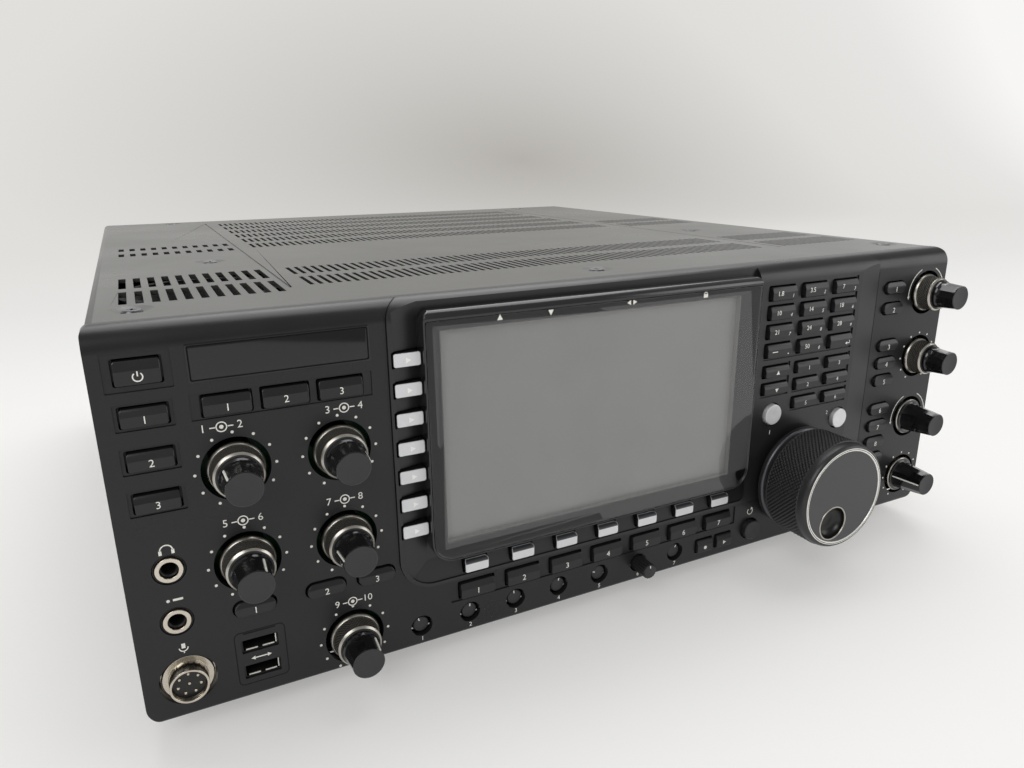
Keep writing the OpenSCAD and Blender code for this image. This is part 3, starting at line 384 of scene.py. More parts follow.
# Zinc plated steel of the rear panel: pale, slightly blue, cloudy.
ZINC = Finish("steel_zinc_plated", "#a9acb0", "#8f9297", 0.4, 1.6,
              Surface.PLATED, depth=0.003, metallic=0.9, swing=0.1, cloud=22.0)
# Screw heads plated in black nickel: mid grey metal.
SCREW = Finish("steel_black_nickel", "#77777a", "#636366", 0.3, 0.5,
               Surface.PLATED, depth=0.003, metallic=1.0)
# Black glass filled nylon of sockets, fan, trim knobs, controls and mains inlet.
NYLON = Finish("nylon_moulded_black", "#18181a", "#1f1f21", 0.48, 0.4,
               Surface.MOULDED, depth=0.008)
# Phenolic of the pin carrier and the dial's dimple: near black, smooth.
PHENOLIC = Finish("phenolic_moulded_smooth", "#0b0a0a", "#100f0f", 0.32, 0.4,
                  Surface.MOULDED, depth=0.003)
# Natural PTFE in the coaxial sockets: milky white.
PTFE = Finish("ptfe_turned_white", "#e6e4de", "#dad8d2", 0.4, 0.4, Surface.MOULDED, depth=0.004)
# Rubber of the feet.
FOOT_RUBBER = Finish("rubber_moulded_feet", "#1a1a1a", "#212121", 0.7, 0.6,
                     Surface.MOULDED, depth=0.02)
# Glass fibre laminate of the boards with green solder mask.
LAMINATE = Finish("glass_fibre_laminate_masked", "#255c3a", "#1d4d30", 0.4, 0.8,
                  Surface.DRAWN_ALONG_X, depth=0.006)
# Extruded aluminium of the heat sink, drawn along its fins.
EXTRUDED = Finish("aluminium_extruded", "#a7abaf", "#979ba0", 0.36, 0.5,
                  Surface.DRAWN_ALONG_X, depth=0.006, metallic=0.95)
# Steel of chassis and boxes, coloured near black as painted shade inside the case: keeps the slots of the
# cover dark.
CHASSIS_STEEL_PAINTED_SHADE = Finish("steel_sheet_painted_shade", "#161617", "#1c1c1d", 0.55, 1.6,
                     Surface.PLATED, depth=0.003, metallic=0.3, cloud=22.0)
# Paper cone of the speaker: dull black.
PAPER_CONE = Finish("paper_cone_black", "#0e0e0f", "#131314", 0.9, 0.8,
                    Surface.MOULDED, depth=0.02)
# Open joint between two parts: nothing but shade, painted black.
JOINT_PAINTED_SHADE = Finish("joint_in_shade", "#030303", "#050505", 0.9, 0.5, Surface.MOULDED)
# Tin plated springs in the ports, in a lighter copy of the shells' tin: painted highlight.
TIN_PAINTED_HIGHLIGHT = Finish("steel_tin_plated_painted_highlight", "#eeece6", "#e2e0da", 0.34, 0.3,
                    Surface.PLATED, depth=0.002, metallic=0.5)
# Screen printed white ink.
INK = Finish("ink_screen_printed_white", "#f0efe8", "#e6e5de", 0.55, 0.2,
             Surface.PRINTED, depth=0.002)
# Diffusing arrows in the silver keys beside the screen: whiter than the paint round them.
KEY_WINDOW = Finish("acrylic_diffusing_white", "#fbfbfa", "#f4f4f3", 0.45, 0.2,
                    Surface.PRINTED, depth=0.002)
# Bare plate: smooth lacquer, glossier than the panel.
PLATE = Finish("aluminium_lacquered_plate", "#101012", "#151517", 0.16, 0.3,
               Surface.SPRAYED, depth=0.002)


class MeshPiece:
    """One mesh under way, with the finishes of its faces."""

    def __init__(self, name: str) -> None:
        """Start an empty piece.

        Args:
            name: Name of the piece.
        """
        self.name = name
        self.bm = bmesh.new()
        self.finishes: list[Finish] = []

    def index(self, finish: Finish) -> int:
        """Give the material index of a finish, adding it if it is new.

        Args:
            finish: Finish to look up.

        Returns:
            Its index on this piece.
        """
        if finish not in self.finishes:
            self.finishes.append(finish)
        return self.finishes.index(finish)

    def face(self, verts: Sequence[bmesh.types.BMVert], finish: Finish) -> None:
        """Add one face with its finish.

        Args:
            verts: Corners in order.
            finish: Finish of the face.
        """
        made = self.bm.faces.new(verts)
        made.material_index = self.index(finish)
        made.smooth = True

    def lathe(
        self,
        centre: Point,
        profile: Profile,
        finishes: Sequence[Finish],
        around: int = 72,
        shape: Optional[RadiusShape] = None,
    ) -> None:
        """Turn a profile round an axis that points out of the panel.

        Args:
            centre: x and z of the axis.
            profile: Radius and distance in front of the panel face, from back to front.
                A radius of 0 closes an end.
            finishes: Finish of each step of the profile.
            around: Points on each ring.
            shape: Radius for an angle clockwise from the top, a radius and a distance.
        """
        rings: list[list[bmesh.types.BMVert]] = []
        for radius, out in profile:
            if radius <= 0:
                rings.append([self.bm.verts.new(spot(centre[0], -out, centre[1]))])
                continue
            ring = []
            for i in range(around):
                turn = FULL_TURN * i / around
                r = shape(turn, radius, out) if shape else radius
                x, z = on_circle(centre, r, turn)
                ring.append(self.bm.verts.new(spot(x, -out, z)))
            rings.append(ring)
        for low, high, finish in zip(rings, rings[1:], finishes):
            for i in range(around):
                j = (i + 1) % around
                if len(low) == 1 and len(high) == 1:
                    break
                if len(low) == 1:
                    self.face([low[0], high[i], high[j]], finish)
                elif len(high) == 1:
                    self.face([low[i], high[0], low[j]], finish)
                else:
                    self.face([low[i], high[i], high[j], low[j]], finish)

    def prism(self, outline: Profile, y0: float, y1: float, finish: Finish) -> None:
        """Extrude an outline in x and z from y0, in front, to y1.

        Args:
            outline: Corners of the outline.
            y0: Front plane.
            y1: Back plane.
            finish: Finish of all faces.
        """
        front = [self.bm.verts.new(spot(x, y0, z)) for x, z in outline]
        back = [self.bm.verts.new(spot(x, y1, z)) for x, z in outline]
        self.face(front, finish)
        self.face(back[::-1], finish)
        for i in range(len(outline)):
            j = (i + 1) % len(outline)
            self.face([front[i], back[i], back[j], front[j]], finish)

    def rings(self, loops: Sequence[Sequence[Vector]], finish: Finish) -> list[list[Any]]:
        """Join loops of the same count by quads and give their vertices.

        Args:
            loops: Places of each loop.
            finish: Finish of the quads.

        Returns:
            The vertices of each loop.
        """
        made = [[self.bm.verts.new(p) for p in loop] for loop in loops]
        for low, high in zip(made, made[1:]):
            for i in range(len(low)):
                j = (i + 1) % len(low)
                self.face([low[i], high[i], high[j], low[j]], finish)
        return made

    def weld(self) -> None:
        """Join the points that lie on each other."""
        bmesh.ops.remove_doubles(self.bm, verts=self.bm.verts[:], dist=DOUBLES)

    def build(
        self,
        body: str,
        slot: str,
        replaces: Sequence[str] = (),
        sharp: float = 32.0,
    ) -> bpy.types.Object:
        """Make the object, hang it on its body and hide the CAD nodes that it stands for.

        Args:
            body: CAD body that it moves with.
            slot: Material slot of the record; not used.
            replaces: CAD nodes that it stands for.
            sharp: Angle in degrees above which an edge stays sharp.

        Returns:
            The object.
        """
        bmesh.ops.recalc_face_normals(self.bm, faces=self.bm.faces[:])
        mesh = bpy.data.meshes.new(self.name)
        self.bm.to_mesh(mesh)
        self.bm.free()
        mesh.set_sharp_from_angle(angle=math.radians(sharp))
        for finish in self.finishes:
            mesh.materials.append(finish.material())
        made = bpy.data.objects.new(self.name, mesh)
        bpy.context.scene.collection.objects.link(made)
        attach(made, body)
        if replaces:
            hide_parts(*replaces)
        LOG.info("piece %s on %s, %d faces", self.name, body, len(mesh.polygons))
        return made


def round_edges(thing: bpy.types.Object, width: float, join: bool = True) -> None:
    """Round the sharp edges of an object with modifiers.

    Args:
        thing: Object to round.
        width: Width of the round in millimetres.
        join: Whether the triangles of a flat face become one face first.
    """
    weld = thing.modifiers.new("weld", "WELD")
    weld.merge_threshold = 0.002 * MM
    if join:
        flat = thing.modifiers.new("flat_faces", "DECIMATE")
        flat.decimate_type = "DISSOLVE"
        flat.angle_limit = math.radians(0.5)
    bevel = thing.modifiers.new("edge_round", "BEVEL")
    bevel.width = width * MM
    bevel.segments = 2
    bevel.limit_method = "ANGLE"
    bevel.angle_limit = math.radians(32)
    bevel.use_clamp_overlap = False
    bevel.miter_outer = "MITER_ARC"
    bevel.harden_normals = True


def dress(node: str, finish: Finish, bevel: float = 0.0, join: bool = True) -> None:
    """Give a CAD node its finish and rounded edges.

    Args:
        node: Name of the CAD node.
        finish: Finish of the whole node.
        bevel: Width of the edge round in millimetres, or 0.
        join: Whether the triangles of a flat face become one face first.
    """
    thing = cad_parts[node]
    if not thing.material_slots:
        thing.data.materials.append(finish.material())
    for place in thing.material_slots:
        place.material = finish.material()
    if bevel:
        round_edges(thing, bevel, join)
    LOG.info("node %s in %s", node, finish.name)


def steps(start: Point, end: Point, count: int) -> list[Point]:
    """Give evenly spaced points from start to end, both included."""
    return [
        (start[0] + (end[0] - start[0]) * i / count, start[1] + (end[1] - start[1]) * i / count)
        for i in range(count + 1)
    ]


def round_outline(w: float, h: float, r: float, per_corner: int = 5) -> list[Point]:
    """Give a rounded rectangle about the origin, from the bottom right corner upwards.

    Args:
        w: Width.
        h: Height.
        r: Radius of the corners.
        per_corner: Steps in each corner.

    Returns:
        The points of the outline.
    """
    points: list[Point] = []
    for sx, sz, start in ((1, -1, 270), (1, 1, 0), (-1, 1, 90), (-1, -1, 180)):
        for i in range(per_corner + 1):
            a = math.radians(start + 90 * i / per_corner)
            points.append(
                (sx * (w / 2 - r) + r * math.cos(a), sz * (h / 2 - r) + r * math.sin(a))
            )
    return points


class PrintSheet:
    """Printed marks that share one plane and one body."""

    def __init__(self, name: str, y: float, body: str, slot: str, ink: Finish = INK) -> None:
        """Start an empty sheet.

        Args:
            name: Name of the piece.
            y: Plane of the surface under the ink.
            body: CAD body that the marks move with.
            slot: Material slot of the record.
            ink: Finish of the marks.
        """
        self.piece = MeshPiece(name)
        self.y, self.body, self.slot, self.ink = y, body, slot, ink

    def shape(self, outline: Profile) -> None:
        """Print a filled outline."""
        self.piece.prism(outline, self.y - INK_LIFT, self.y + INK_SINK, self.ink)

    def dot(self, x: float, z: float, r: float) -> None:
        """Print a filled dot."""
        self.shape([
            (x + r * math.cos(FULL_TURN * i / DOT_CORNERS), z + r * math.sin(FULL_TURN * i / DOT_CORNERS))
            for i in range(DOT_CORNERS)
        ])

    def bar(self, a: Point, b: Point, w: float) -> None:
        """Print a straight bar.

        Args:
            a: Middle of one end.
            b: Middle of the other end.
            w: Width of the bar.
        """
        long = math.hypot(b[0] - a[0], b[1] - a[1])
        nx, nz = -(b[1] - a[1]) / long * w / 2, (b[0] - a[0]) / long * w / 2
        self.shape([(a[0] + nx, a[1] + nz), (a[0] - nx, a[1] - nz),
                    (b[0] - nx, b[1] - nz), (b[0] + nx, b[1] + nz)])

    def arc(self, centre: Point, r: float, w: float, start: float, end: float) -> None:
        """Print an arc; its angles are degrees clockwise from the top.

        Args:
            centre: Middle of the arc.
            r: Radius of its middle line.
            w: Width of the line.
            start: Angle where it starts.
            end: Angle where it ends.
        """
        count = max(4, int(abs(end - start) / ARC_STEP))
        turns = [math.radians(start + (end - start) * i / count) for i in range(count + 1)]
        rim = [on_circle(centre, r + w / 2, t) for t in turns]
        inner = [on_circle(centre, r - w / 2, t) for t in turns]
        self.shape(rim + inner[::-1])

    def circle(self, centre: Point, r: float, w: float) -> None:
        """Print a ring of width w as two half arcs."""
        self.arc(centre, r, w, 0, 180)
        self.arc(centre, r, w, 180, 360)

    def arrow(self, x: float, z: float, size: float, turn: float) -> None:
        """Print a triangle.

        Args:
            x: Middle of the triangle.
            z: Middle of its height.
            size: Height of the triangle.
            turn: Where it points, in degrees clockwise from up.
        """
        t = math.radians(turn)
        corners = [(0, 0.6), (0.55, -0.4), (-0.55, -0.4)]
        self.shape([
            (x + size * (a * math.cos(t) + b * math.sin(t)), z + size * (b * math.cos(t) - a * math.sin(t)))
            for a, b in corners
        ])

    def number(self, text: str, x: float, z: float, size: float, slant: float = 0.0) -> None:
        """Print a plain number.

        Args:
            text: Digits.
            x: Middle of the number.
            z: Middle of the number's height.
            size: Height of the digits.
            slant: Lean of the digits.
        """
        curve = bpy.data.curves.new("digits", "FONT")
        curve.body, curve.size, curve.shear = text, size * MM * DIGIT_SCALE, slant
        curve.align_x, curve.align_y = "CENTER", "CENTER"
        curve.extrude = (INK_LIFT + INK_SINK) / 2 * MM
        curve.resolution_u = 3
        holder = bpy.data.objects.new("digits", curve)
        bpy.context.scene.collection.objects.link(holder)
        graph = bpy.context.evaluated_depsgraph_get()
        mesh = bpy.data.meshes.new_from_object(holder.evaluated_get(graph))
        turn = Matrix(((1, 0, 0, 0), (0, 0, -1, 0), (0, 1, 0, 0), (0, 0, 0, 1)))
        mesh.transform(Matrix.Translation(spot(x, self.y + (INK_SINK - INK_LIFT) / 2, z)) @ turn)
        before = len(self.piece.bm.faces)
        self.piece.bm.from_mesh(mesh)
        self.piece.bm.faces.ensure_lookup_table()
        for made in self.piece.bm.faces[before:]:
            made.material_index = self.piece.index(self.ink)
        bpy.data.objects.remove(holder)
        bpy.data.curves.remove(curve)
        bpy.data.meshes.remove(mesh)

    def build(self) -> bpy.types.Object:
        """Make the piece."""
        self.piece.weld()
        return self.piece.build(self.body, self.slot)


@dataclass
class KeyField:
    """A field of keys of one size on one press group.

    Args:
        name: Name of the piece.
        node: CAD node that it stands for.
        body: Press group that it moves with.
        places: Middles of the keys.
        size: Width and height of a key.
        front: Plane of the faces.
        finish: Finish of the faces.
        slot: Material slot of the record.
        corner: Radius of the corners.
        edge: Size of the rounded edge.
        knee: Share of the height where the face starts to fall back.
        fall: How far it falls back at the top.
        rolled: Whether it falls back in a round instead of a slope.
        walls: Finish of the walls, where it differs.
        crown: Finish of the face above the knee, where it differs.
        bends: Rows of points above the knee.
        back: Plane of the back.
        lip: Width of the lip behind the panel.
        lip_deep: Thickness of the lip.
    """

    name: str
    node: str
    body: str
    places: Sequence[Point]
    size: Point
    front: float
    finish: Finish = KEY_PLASTIC
    slot: str = "key_plastic"
    corner: float = 0.8
    edge: float = 0.45
    knee: float = 0.1
    fall: float = 0.9
    rolled: bool = False
    walls: Optional[Finish] = None
    crown: Optional[Finish] = None
    bends: int = 1
    back: float = 5.8
    lip: float = 1.1
    lip_deep: float = 1.0

    @classmethod
    def group(
        cls, kind: str, places: Sequence[Point], size: Point, front: float, **looks: Any
    ) -> "KeyField":
        """Give the field of one kind of keys, named for it.

        Args:
            kind: Kind of the keys.
            places: Middles of the keys.
            size: Width and height of a key.
            front: Plane of the faces.
            looks: Other fields that differ from their defaults.

        Returns:
            The field.
        """
        return cls(f"{kind}_caps", f"{kind}_keys", f"{kind}_key_group", places, size, front, **looks)

    def front_fall(self, share: float) -> float:
        """Give how far the face falls back.

        Args:
            share: Share of the key's height, -0.5 to 0.5.

        Returns:
            Millimetres behind the plane of the face.
        """
        over = max(0.0, (share - self.knee) / (0.5 - self.knee))
        if self.rolled:
            return self.fall * (1 - math.sqrt(max(0.0, 1 - over * over)))
        return self.fall * over

    def outline(self, w: float, h: float, r: float) -> list[Point]:
        """Give the outline of one level, with points on both sides where the face bends.

        Args:
            w: Width of the level.
            h: Height of the level.
            r: Radius of its corners.

        Returns:
            The points from the bottom right corner upwards.
        """
        points = round_outline(w, h, r)
        quarter = len(points) // 4
        first, last = self.knee * h, h / 2 - r
        if first >= last:
            return points
        rows = [first + (last - first) * i / self.bends for i in range(self.bends)]
        right = [(w / 2, z) for z in rows]
        left = [(-w / 2, z) for z in rows[::-1]]
        return points[:quarter] + right + points[quarter:3 * quarter] + left + points[3 * quarter:]

    def cap(self, piece: MeshPiece, place: Point) -> None:
        """Add one key: lip, walls, rounded edge and a face that falls back at the top.

        Args:
            piece: Piece to add to.
            place: Middle of the key.
        """
        w, h = self.size
        flange = (w + 2 * self.lip, h + 2 * self.lip, self.corner + self.lip)
        shelf = self.back - self.lip_deep
        shoulder, rim = 0.3 * self.edge, 1.1 * self.edge
        levels = [
            (*flange, self.back, 0.0),
            (*flange, shelf, 0.0),
            (w, h, self.corner, shelf, 0.0),
            (w, h, self.corner, self.front + self.edge, 1.0),
            (w - shoulder, h - shoulder, self.corner, self.front + shoulder, 1.0),
            (w - rim, h - rim, self.corner, self.front, 1.0),
        ]
        loops = []
        for lw, lh, r, y, follow in levels:
            outline = self.outline(lw, lh, min(r, lw / 2 - 0.01, lh / 2 - 0.01))
            loops.append([
                spot(place[0] + x, y + follow * self.front_fall(z / lh), place[1] + z)
                for x, z in outline
            ])
        walls = self.walls or self.finish
        low = piece.rings(loops[:4], walls)
        top = piece.rings(loops[3:], self.finish)[-1]
        half = len(top) // 2
        right, left = top[:half], top[half:][::-1]
        knee = half // 2 - self.bends // 2
        for i in range(half - 1):
            finish = self.crown if self.crown and i >= knee else self.finish
            piece.face([right[i], right[i + 1], left[i + 1], left[i]], finish)
        piece.face(low[0][::-1], walls)

    def build(self) -> None:
        """Build the field as one piece."""
        piece = MeshPiece(self.name)
        for place in self.places:
            self.cap(piece, place)
        piece.weld()
        piece.build(self.body, self.slot, (self.node,), sharp=14)


def fluted(count: int, depth: float, low: float, high: float) -> RadiusShape:
    """Give a radius function with flat facets between two distances.

    Args:
        count: Facets round the knob.
        depth: How much of the facet's true depth is cut, 1 for flat facets.
        low: Distance where the facets start.
        high: Distance where they end.

    Returns:
        Radius for an angle, a radius and a distance.
    """

    def shape(turn: float, radius: float, out: float) -> float:
        """Give the radius with the facets cut."""
        if not low <= out <= high:
            return radius
        part = (turn * count / FULL_TURN) % 1.0 - 0.5
        flat = math.cos(math.pi / count) / math.cos(part * FULL_TURN / count)
        return radius * (1 + depth * (flat - 1))

    return shape


def knurled(count: int, deep: float, pitch: float, low: float, high: float) -> RadiusShape:
    """Give a radius function with a diamond knurl between two distances.

    Args:
        count: Teeth round the knob.
        deep: Depth of the knurl in millimetres.
        pitch: Length of one diamond along the axis.
        low: Distance where the knurl starts.
        high: Distance where it ends.

    Returns:
        Radius for an angle, a radius and a distance.
    """

    def shape(turn: float, radius: float, out: float) -> float:
        """Give the radius with the knurl cut."""
        if not low <= out <= high:
            return radius
        a = turn * count
        b = (out - low) / pitch * math.pi
        return radius - deep * (1 - abs(math.cos(a / 2 + b) * math.cos(a / 2 - b)))

    return shape


@dataclass
class RingKnob:
    """Knurled outer knob of a concentric pair, with two bright turned edges."""

    name: str
    place: Point
    bore: float = 2.05
    sleeve: float = 3.4
    sleeve_end: float = -14.0
    rear: float = 10.2
    front: float = 8.9
    out: float = 8.8
    teeth: int = 44
    knurl_deep: float = 0.5
    knurl_pitch: float = 1.4

    def build(self) -> None:
        """Build the ring knob and its sleeve."""
        piece = MeshPiece(f"{self.name}_ring")
        band = steps((self.rear - 0.75, 1.6), (self.front - 0.1, 6.9), 32)
        profile = [
            (self.bore, self.sleeve_end), (self.sleeve, self.sleeve_end), (self.sleeve, -1.0),
            (self.rear - 0.4, -1.0), (self.rear - 0.05, -0.6), (self.rear, 0.1), (self.rear, 0.5),
            (self.rear - 0.65, 1.3), (self.rear - 0.9, 1.45), *band, (self.front - 0.2, 7.0),
            (self.front, 7.2), (self.front, 7.6), (self.front - 0.75, 8.4), (self.front - 1.0, 8.5),
            (self.front - 1.3, self.out), (self.bore, self.out), (self.bore, self.sleeve_end),
        ]
        finishes = [NICKEL] * 2 + [RING_ANODISED] * 3 + [TURNED_EDGE] * 2 + [RING_ANODISED] * (len(band) + 2)
        finishes += [TURNED_EDGE] * 3 + [NYLON] * 3 + [NICKEL]
        piece.lathe(self.place, profile, finishes, around=self.teeth * TOOTH_POINTS,
                    shape=knurled(self.teeth, self.knurl_deep, self.knurl_pitch, band[1][1], band[-2][1]))
        piece.build(f"{self.name}_ring", "knob_ring_metal", (f"{self.name}_ring_knob",), sharp=40)


@dataclass
class PointerKnob:
    """Black fluted knob with a matte face and an inlaid white line."""

    name: str
    body: str
    node: str
    place: Point
    start: float
    out: float
    pointer: Optional[float]
    skirt: bool = False
    shaft: float = 2.0
    shaft_end: float = -17.0
    base: float = 7.6
    front: float = 6.5
    skirt_r: float = 10.2
    facets: int = 12
    flute_depth: float = 1.1
    line: float = 0.75

    @property
    def side_start(self) -> float:
        """Give the distance where the fluted side starts."""
        return self.start + (2.6 if self.skirt else 1.9)

    @property
    def side_end(self) -> float:
        """Give the distance where the fluted side ends."""
        return self.out - 0.5

    def radius(self, out: float) -> float:
        """Give the radius of the fluted side.

        Args:
            out: Distance in front of the panel face.

        Returns:
            The radius there.
        """
        share = (out - self.side_start) / (self.side_end - self.side_start)
        base = self.base + 0.5 if self.skirt else self.base - 0.5
        return base + (self.front - base) * share

    def build(self) -> None:
        """Build shaft, base, fluted side, face and line."""
        piece = MeshPiece(self.name)
        low, high = self.side_start, self.side_end
        side = [(self.radius(o), o) for _, o in steps((0, low), (0, high), 8)]
        if self.skirt:
            foot = [
                (self.skirt_r - 0.5, self.start), (self.skirt_r, self.start + 0.6),
                (self.skirt_r, self.start + 1.6), (self.skirt_r - 0.4, self.start + 2.0),
                (self.skirt_r - 1.5, self.start + 2.1),
            ]
            foot_finish = [NYLON] + [TURNED_EDGE] * 3 + [KNOB_GLOSS] * 2
        else:
            foot = [
                (self.base - 0.2, self.start), (self.base, self.start + 0.2), (self.base, self.start + 1.1),
                (self.base - 0.25, self.start + 1.5),
            ]
            foot_finish = [NYLON] + [KNOB_GLOSS] * 4
        profile = [
            (0, self.shaft_end), (self.shaft, self.shaft_end), (self.shaft, self.start), *foot, *side,
            (self.front - 0.12, self.out - 0.2), (self.front - 0.5, self.out - 0.02),
            (self.front - 0.7, self.out), (self.front - 0.85, self.out - 0.04), (0, self.out - 0.04),
        ]
        finishes = [NICKEL, NICKEL] + foot_finish + [KNOB_GLOSS] * (len(side) - 1)
        finishes += [KNOB_GLOSS] * 2 + [KNOB_FACE] * 3
        piece.lathe(self.place, profile, finishes, around=self.facets * TOOTH_POINTS,
                    shape=fluted(self.facets, self.flute_depth, low + 0.4, self.out - 0.3))
        if self.pointer is not None:
            self.inlay(piece, low + 0.5, high - 0.1)
        piece.build(self.body, "knob_plastic", (self.node,), sharp=24)

    def inlay(self, piece: MeshPiece, low: float, high: float) -> None:
        """Add the white line along the side as a thin closed strip.

        Args:
            piece: Piece to add to.
            low: Distance where the line starts.
            high: Distance where it ends.
        """
        turn = math.radians(self.pointer or 0.0)
        ux, uz = math.sin(turn), math.cos(turn)
        tx, tz = uz, -ux
        loops = []
        for out in (low, (low + high) / 2, high):
            r = self.radius(out)
            loop = []
            for side, rise in ((-1, 0.1), (1, 0.1), (1, -0.25), (-1, -0.25)):
                across = side * self.line / 2
                x = self.place[0] + ux * (r + rise) + tx * across
                z = self.place[1] + uz * (r + rise) + tz * across
                loop.append(spot(x, -out, z))
            loops.append(loop)
        made = piece.rings(loops, INK)
        piece.face(made[0], INK)
        piece.face(made[-1][::-1], INK)


@dataclass
class TrimKnob:
    """Small recessed knob with a serrated side."""

    number: int
    place: Point
    out: float
    r: float = 3.9
    long: float = 12.0
    shaft: float = 1.5
    shaft_end: float = -17.0
    teeth: int = 18
    tooth_deep: float = 0.3
    tooth_points: int = 6
    pointer: float = 0.0

    def build(self) -> None:
        """Build shaft, serrated side, face and its small line."""
        piece = MeshPiece(f"trim_{self.number}")
        back = self.out - self.long
        side = steps((self.r, back + 0.5), (self.r - 0.15, self.out - 0.5), 5)
        profile = [
            (0, self.shaft_end), (self.shaft, self.shaft_end), (self.shaft, back), (self.r - 0.3, back),
            *side, (self.r - 0.4, self.out - 0.1), (self.r - 0.7, self.out), (0, self.out),
        ]
        finishes = [NICKEL] * 2 + [NYLON] * (len(side) + 3) + [KNOB_FACE] * 2

        def shape(turn: float, radius: float, out: float) -> float:
            """Give the radius with the teeth cut."""
            if radius < self.r - 0.5:
                return radius
            return radius - self.tooth_deep * (1 - abs(math.cos(turn * self.teeth / 2)))

        piece.lathe(self.place, profile, finishes, around=self.teeth * self.tooth_points, shape=shape)
        turn = math.radians(self.pointer)
        ux, uz = math.sin(turn), math.cos(turn)
        outline = [
            (self.place[0] + ux * a + uz * b, self.place[1] + uz * a - ux * b)
            for a, b in ((1.9, -0.25), (1.9, 0.25), (3.2, 0.25), (3.2, -0.25))
        ]
        piece.prism(outline, -self.out - 0.04, -self.out + 0.1, INK)
        piece.build(f"trim_{self.number}", "knob_plastic", (f"trim_knob_{self.number}",), sharp=35)


@dataclass
class MainDial:
    """Large tuning dial: knurled grip, smooth collar, bright ring, face plate with a finger dimple."""

    place: Point = (107.0, 35.5)
    r: float = 28.0
    back: float = 4.0
    out: float = 35.5
    teeth: int = 80
    knurl_deep: float = 0.55
    knurl_start: float = 10.7
    knurl_end: float = 30.6
    knurl_pitch: float = 2.2
    rows: int = 72
    ring_r: float = 25.75
    seat: float = 29.6
    dimple_r: float = 9.0
    dimple_off: float = 14.5
    dimple_turn: float = 246.0
    dimple_deep: float = 4.5

    def build(self) -> None:
        """Build the grip and the face."""
        grip = MeshPiece("dial_grip")
        r, out, back = self.r, self.out, self.back
        band = steps((r, self.knurl_start), (r, self.knurl_end), self.rows)
        profile = [
            (0, -17.0), (3.0, -17.0), (3.0, back), (r - 1.4, back), (r - 0.85, back + 0.4),
            (r - 0.8, back + 0.8), (r - 0.8, back + 2.3), (r - 1.0, back + 2.9), (r - 1.6, back + 3.3),
            (r - 2.4, back + 3.7), (r - 2.4, back + 5.8), (r - 0.9, self.knurl_start - 0.6),
            (r - 0.3, self.knurl_start - 0.1), *band, (r - 0.3, self.knurl_end + 0.2),
            (r - 0.4, self.knurl_end + 0.8), (r - 0.5, 33.4), (r - 0.85, 34.3), (r - 1.4, 35.0),
            (r - 1.9, out - 0.1), (self.ring_r + 0.08, out - 0.08), (self.ring_r + 0.08, self.seat - 0.1),
            (0, self.seat - 0.1),
        ]
        # The skirt's shoulder takes the lighter finish that paints its highlight arc.
        finishes = [NICKEL] * 2 + [NYLON] + [DIAL_COLLAR] * 3 + [DIAL_SHOULDER_PAINTED_HIGHLIGHT] * 3 + [NYLON]
        finishes += [DIAL_COLLAR] * 2 + [DIAL_GRIP] * len(band)
        finishes += [DIAL_COLLAR] * (len(profile) - 1 - len(finishes))
        grip.lathe(self.place, profile, finishes, around=self.teeth * TOOTH_POINTS,
                   shape=knurled(self.teeth, self.knurl_deep, self.knurl_pitch, band[1][1], band[-2][1]))
        grip.build("dial", "dial_rubber", ("main_dial",), sharp=40)
        self.face()

    def face(self) -> None:
        """Build the face plate, its bright ring and the finger dimple as one closed piece."""
        piece = MeshPiece("dial_face")
        t = math.radians(self.dimple_turn)
        hole = (
            self.place[0] + self.dimple_off * math.cos(t),
            self.place[1] + self.dimple_off * math.sin(t),
        )
        count = 144
        out, ring_r = self.out, self.ring_r
        flat = out - 0.35

        def loop(centre: Point, radius: float, at: float) -> list[Vector]:
            """Give a circle at a distance in front of the panel."""
            return [
                spot(
                    centre[0] + radius * math.cos(t + FULL_TURN * i / count),
                    -at,
                    centre[1] + radius * math.sin(t + FULL_TURN * i / count),
                )
                for i in range(count)
            ]

        rim = [(ring_r, self.seat), (ring_r, out - 0.3), (ring_r - 0.15, out - 0.05), (ring_r - 0.6, out)]
        made = piece.rings([loop(self.place, a, b) for a, b in rim], DIAL_RING)
        piece.face(made[0][::-1], NYLON)
        edge = made[-1]
        line = [(ring_r - 0.65, out - 0.15), (ring_r - 0.85, out - 0.15), (ring_r - 0.9, out)]
        inner = [(ring_r - 1.45, out - 0.1), (ring_r - 1.6, flat)]
        lips = [(self.dimple_r + 0.1, flat), (self.dimple_r, flat + 0.12), (self.dimple_r - 0.5, flat + 0.14),
                (self.dimple_r - 0.7, flat - 0.1)]
        bowl_r = self.dimple_r - 0.7
        bowl = [(bowl_r * math.sqrt(math.cos(a)), flat - 0.1 - self.dimple_deep * math.sin(a))
                for a in (math.radians(8 * k) for k in range(1, 11))]
        bands = [(self.place, line, DIAL_GRIP), (self.place, inner, DIAL_RING), (hole, lips[:1], DIAL_FACE),
                 (hole, lips[1:], TURNED_EDGE), (hole, bowl, PHENOLIC)]
        for centre, rows, finish in bands:
            for radius, at in rows:
                new = [piece.bm.verts.new(p) for p in loop(centre, radius, at)]
                for i in range(count):
                    j = (i + 1) % count
                    piece.face([edge[i], new[i], new[j], edge[j]], finish)
                edge = new
        piece.face(edge, PHENOLIC)
        piece.build("dial", "dial_plate_metal", ("dial_plate",), sharp=40)


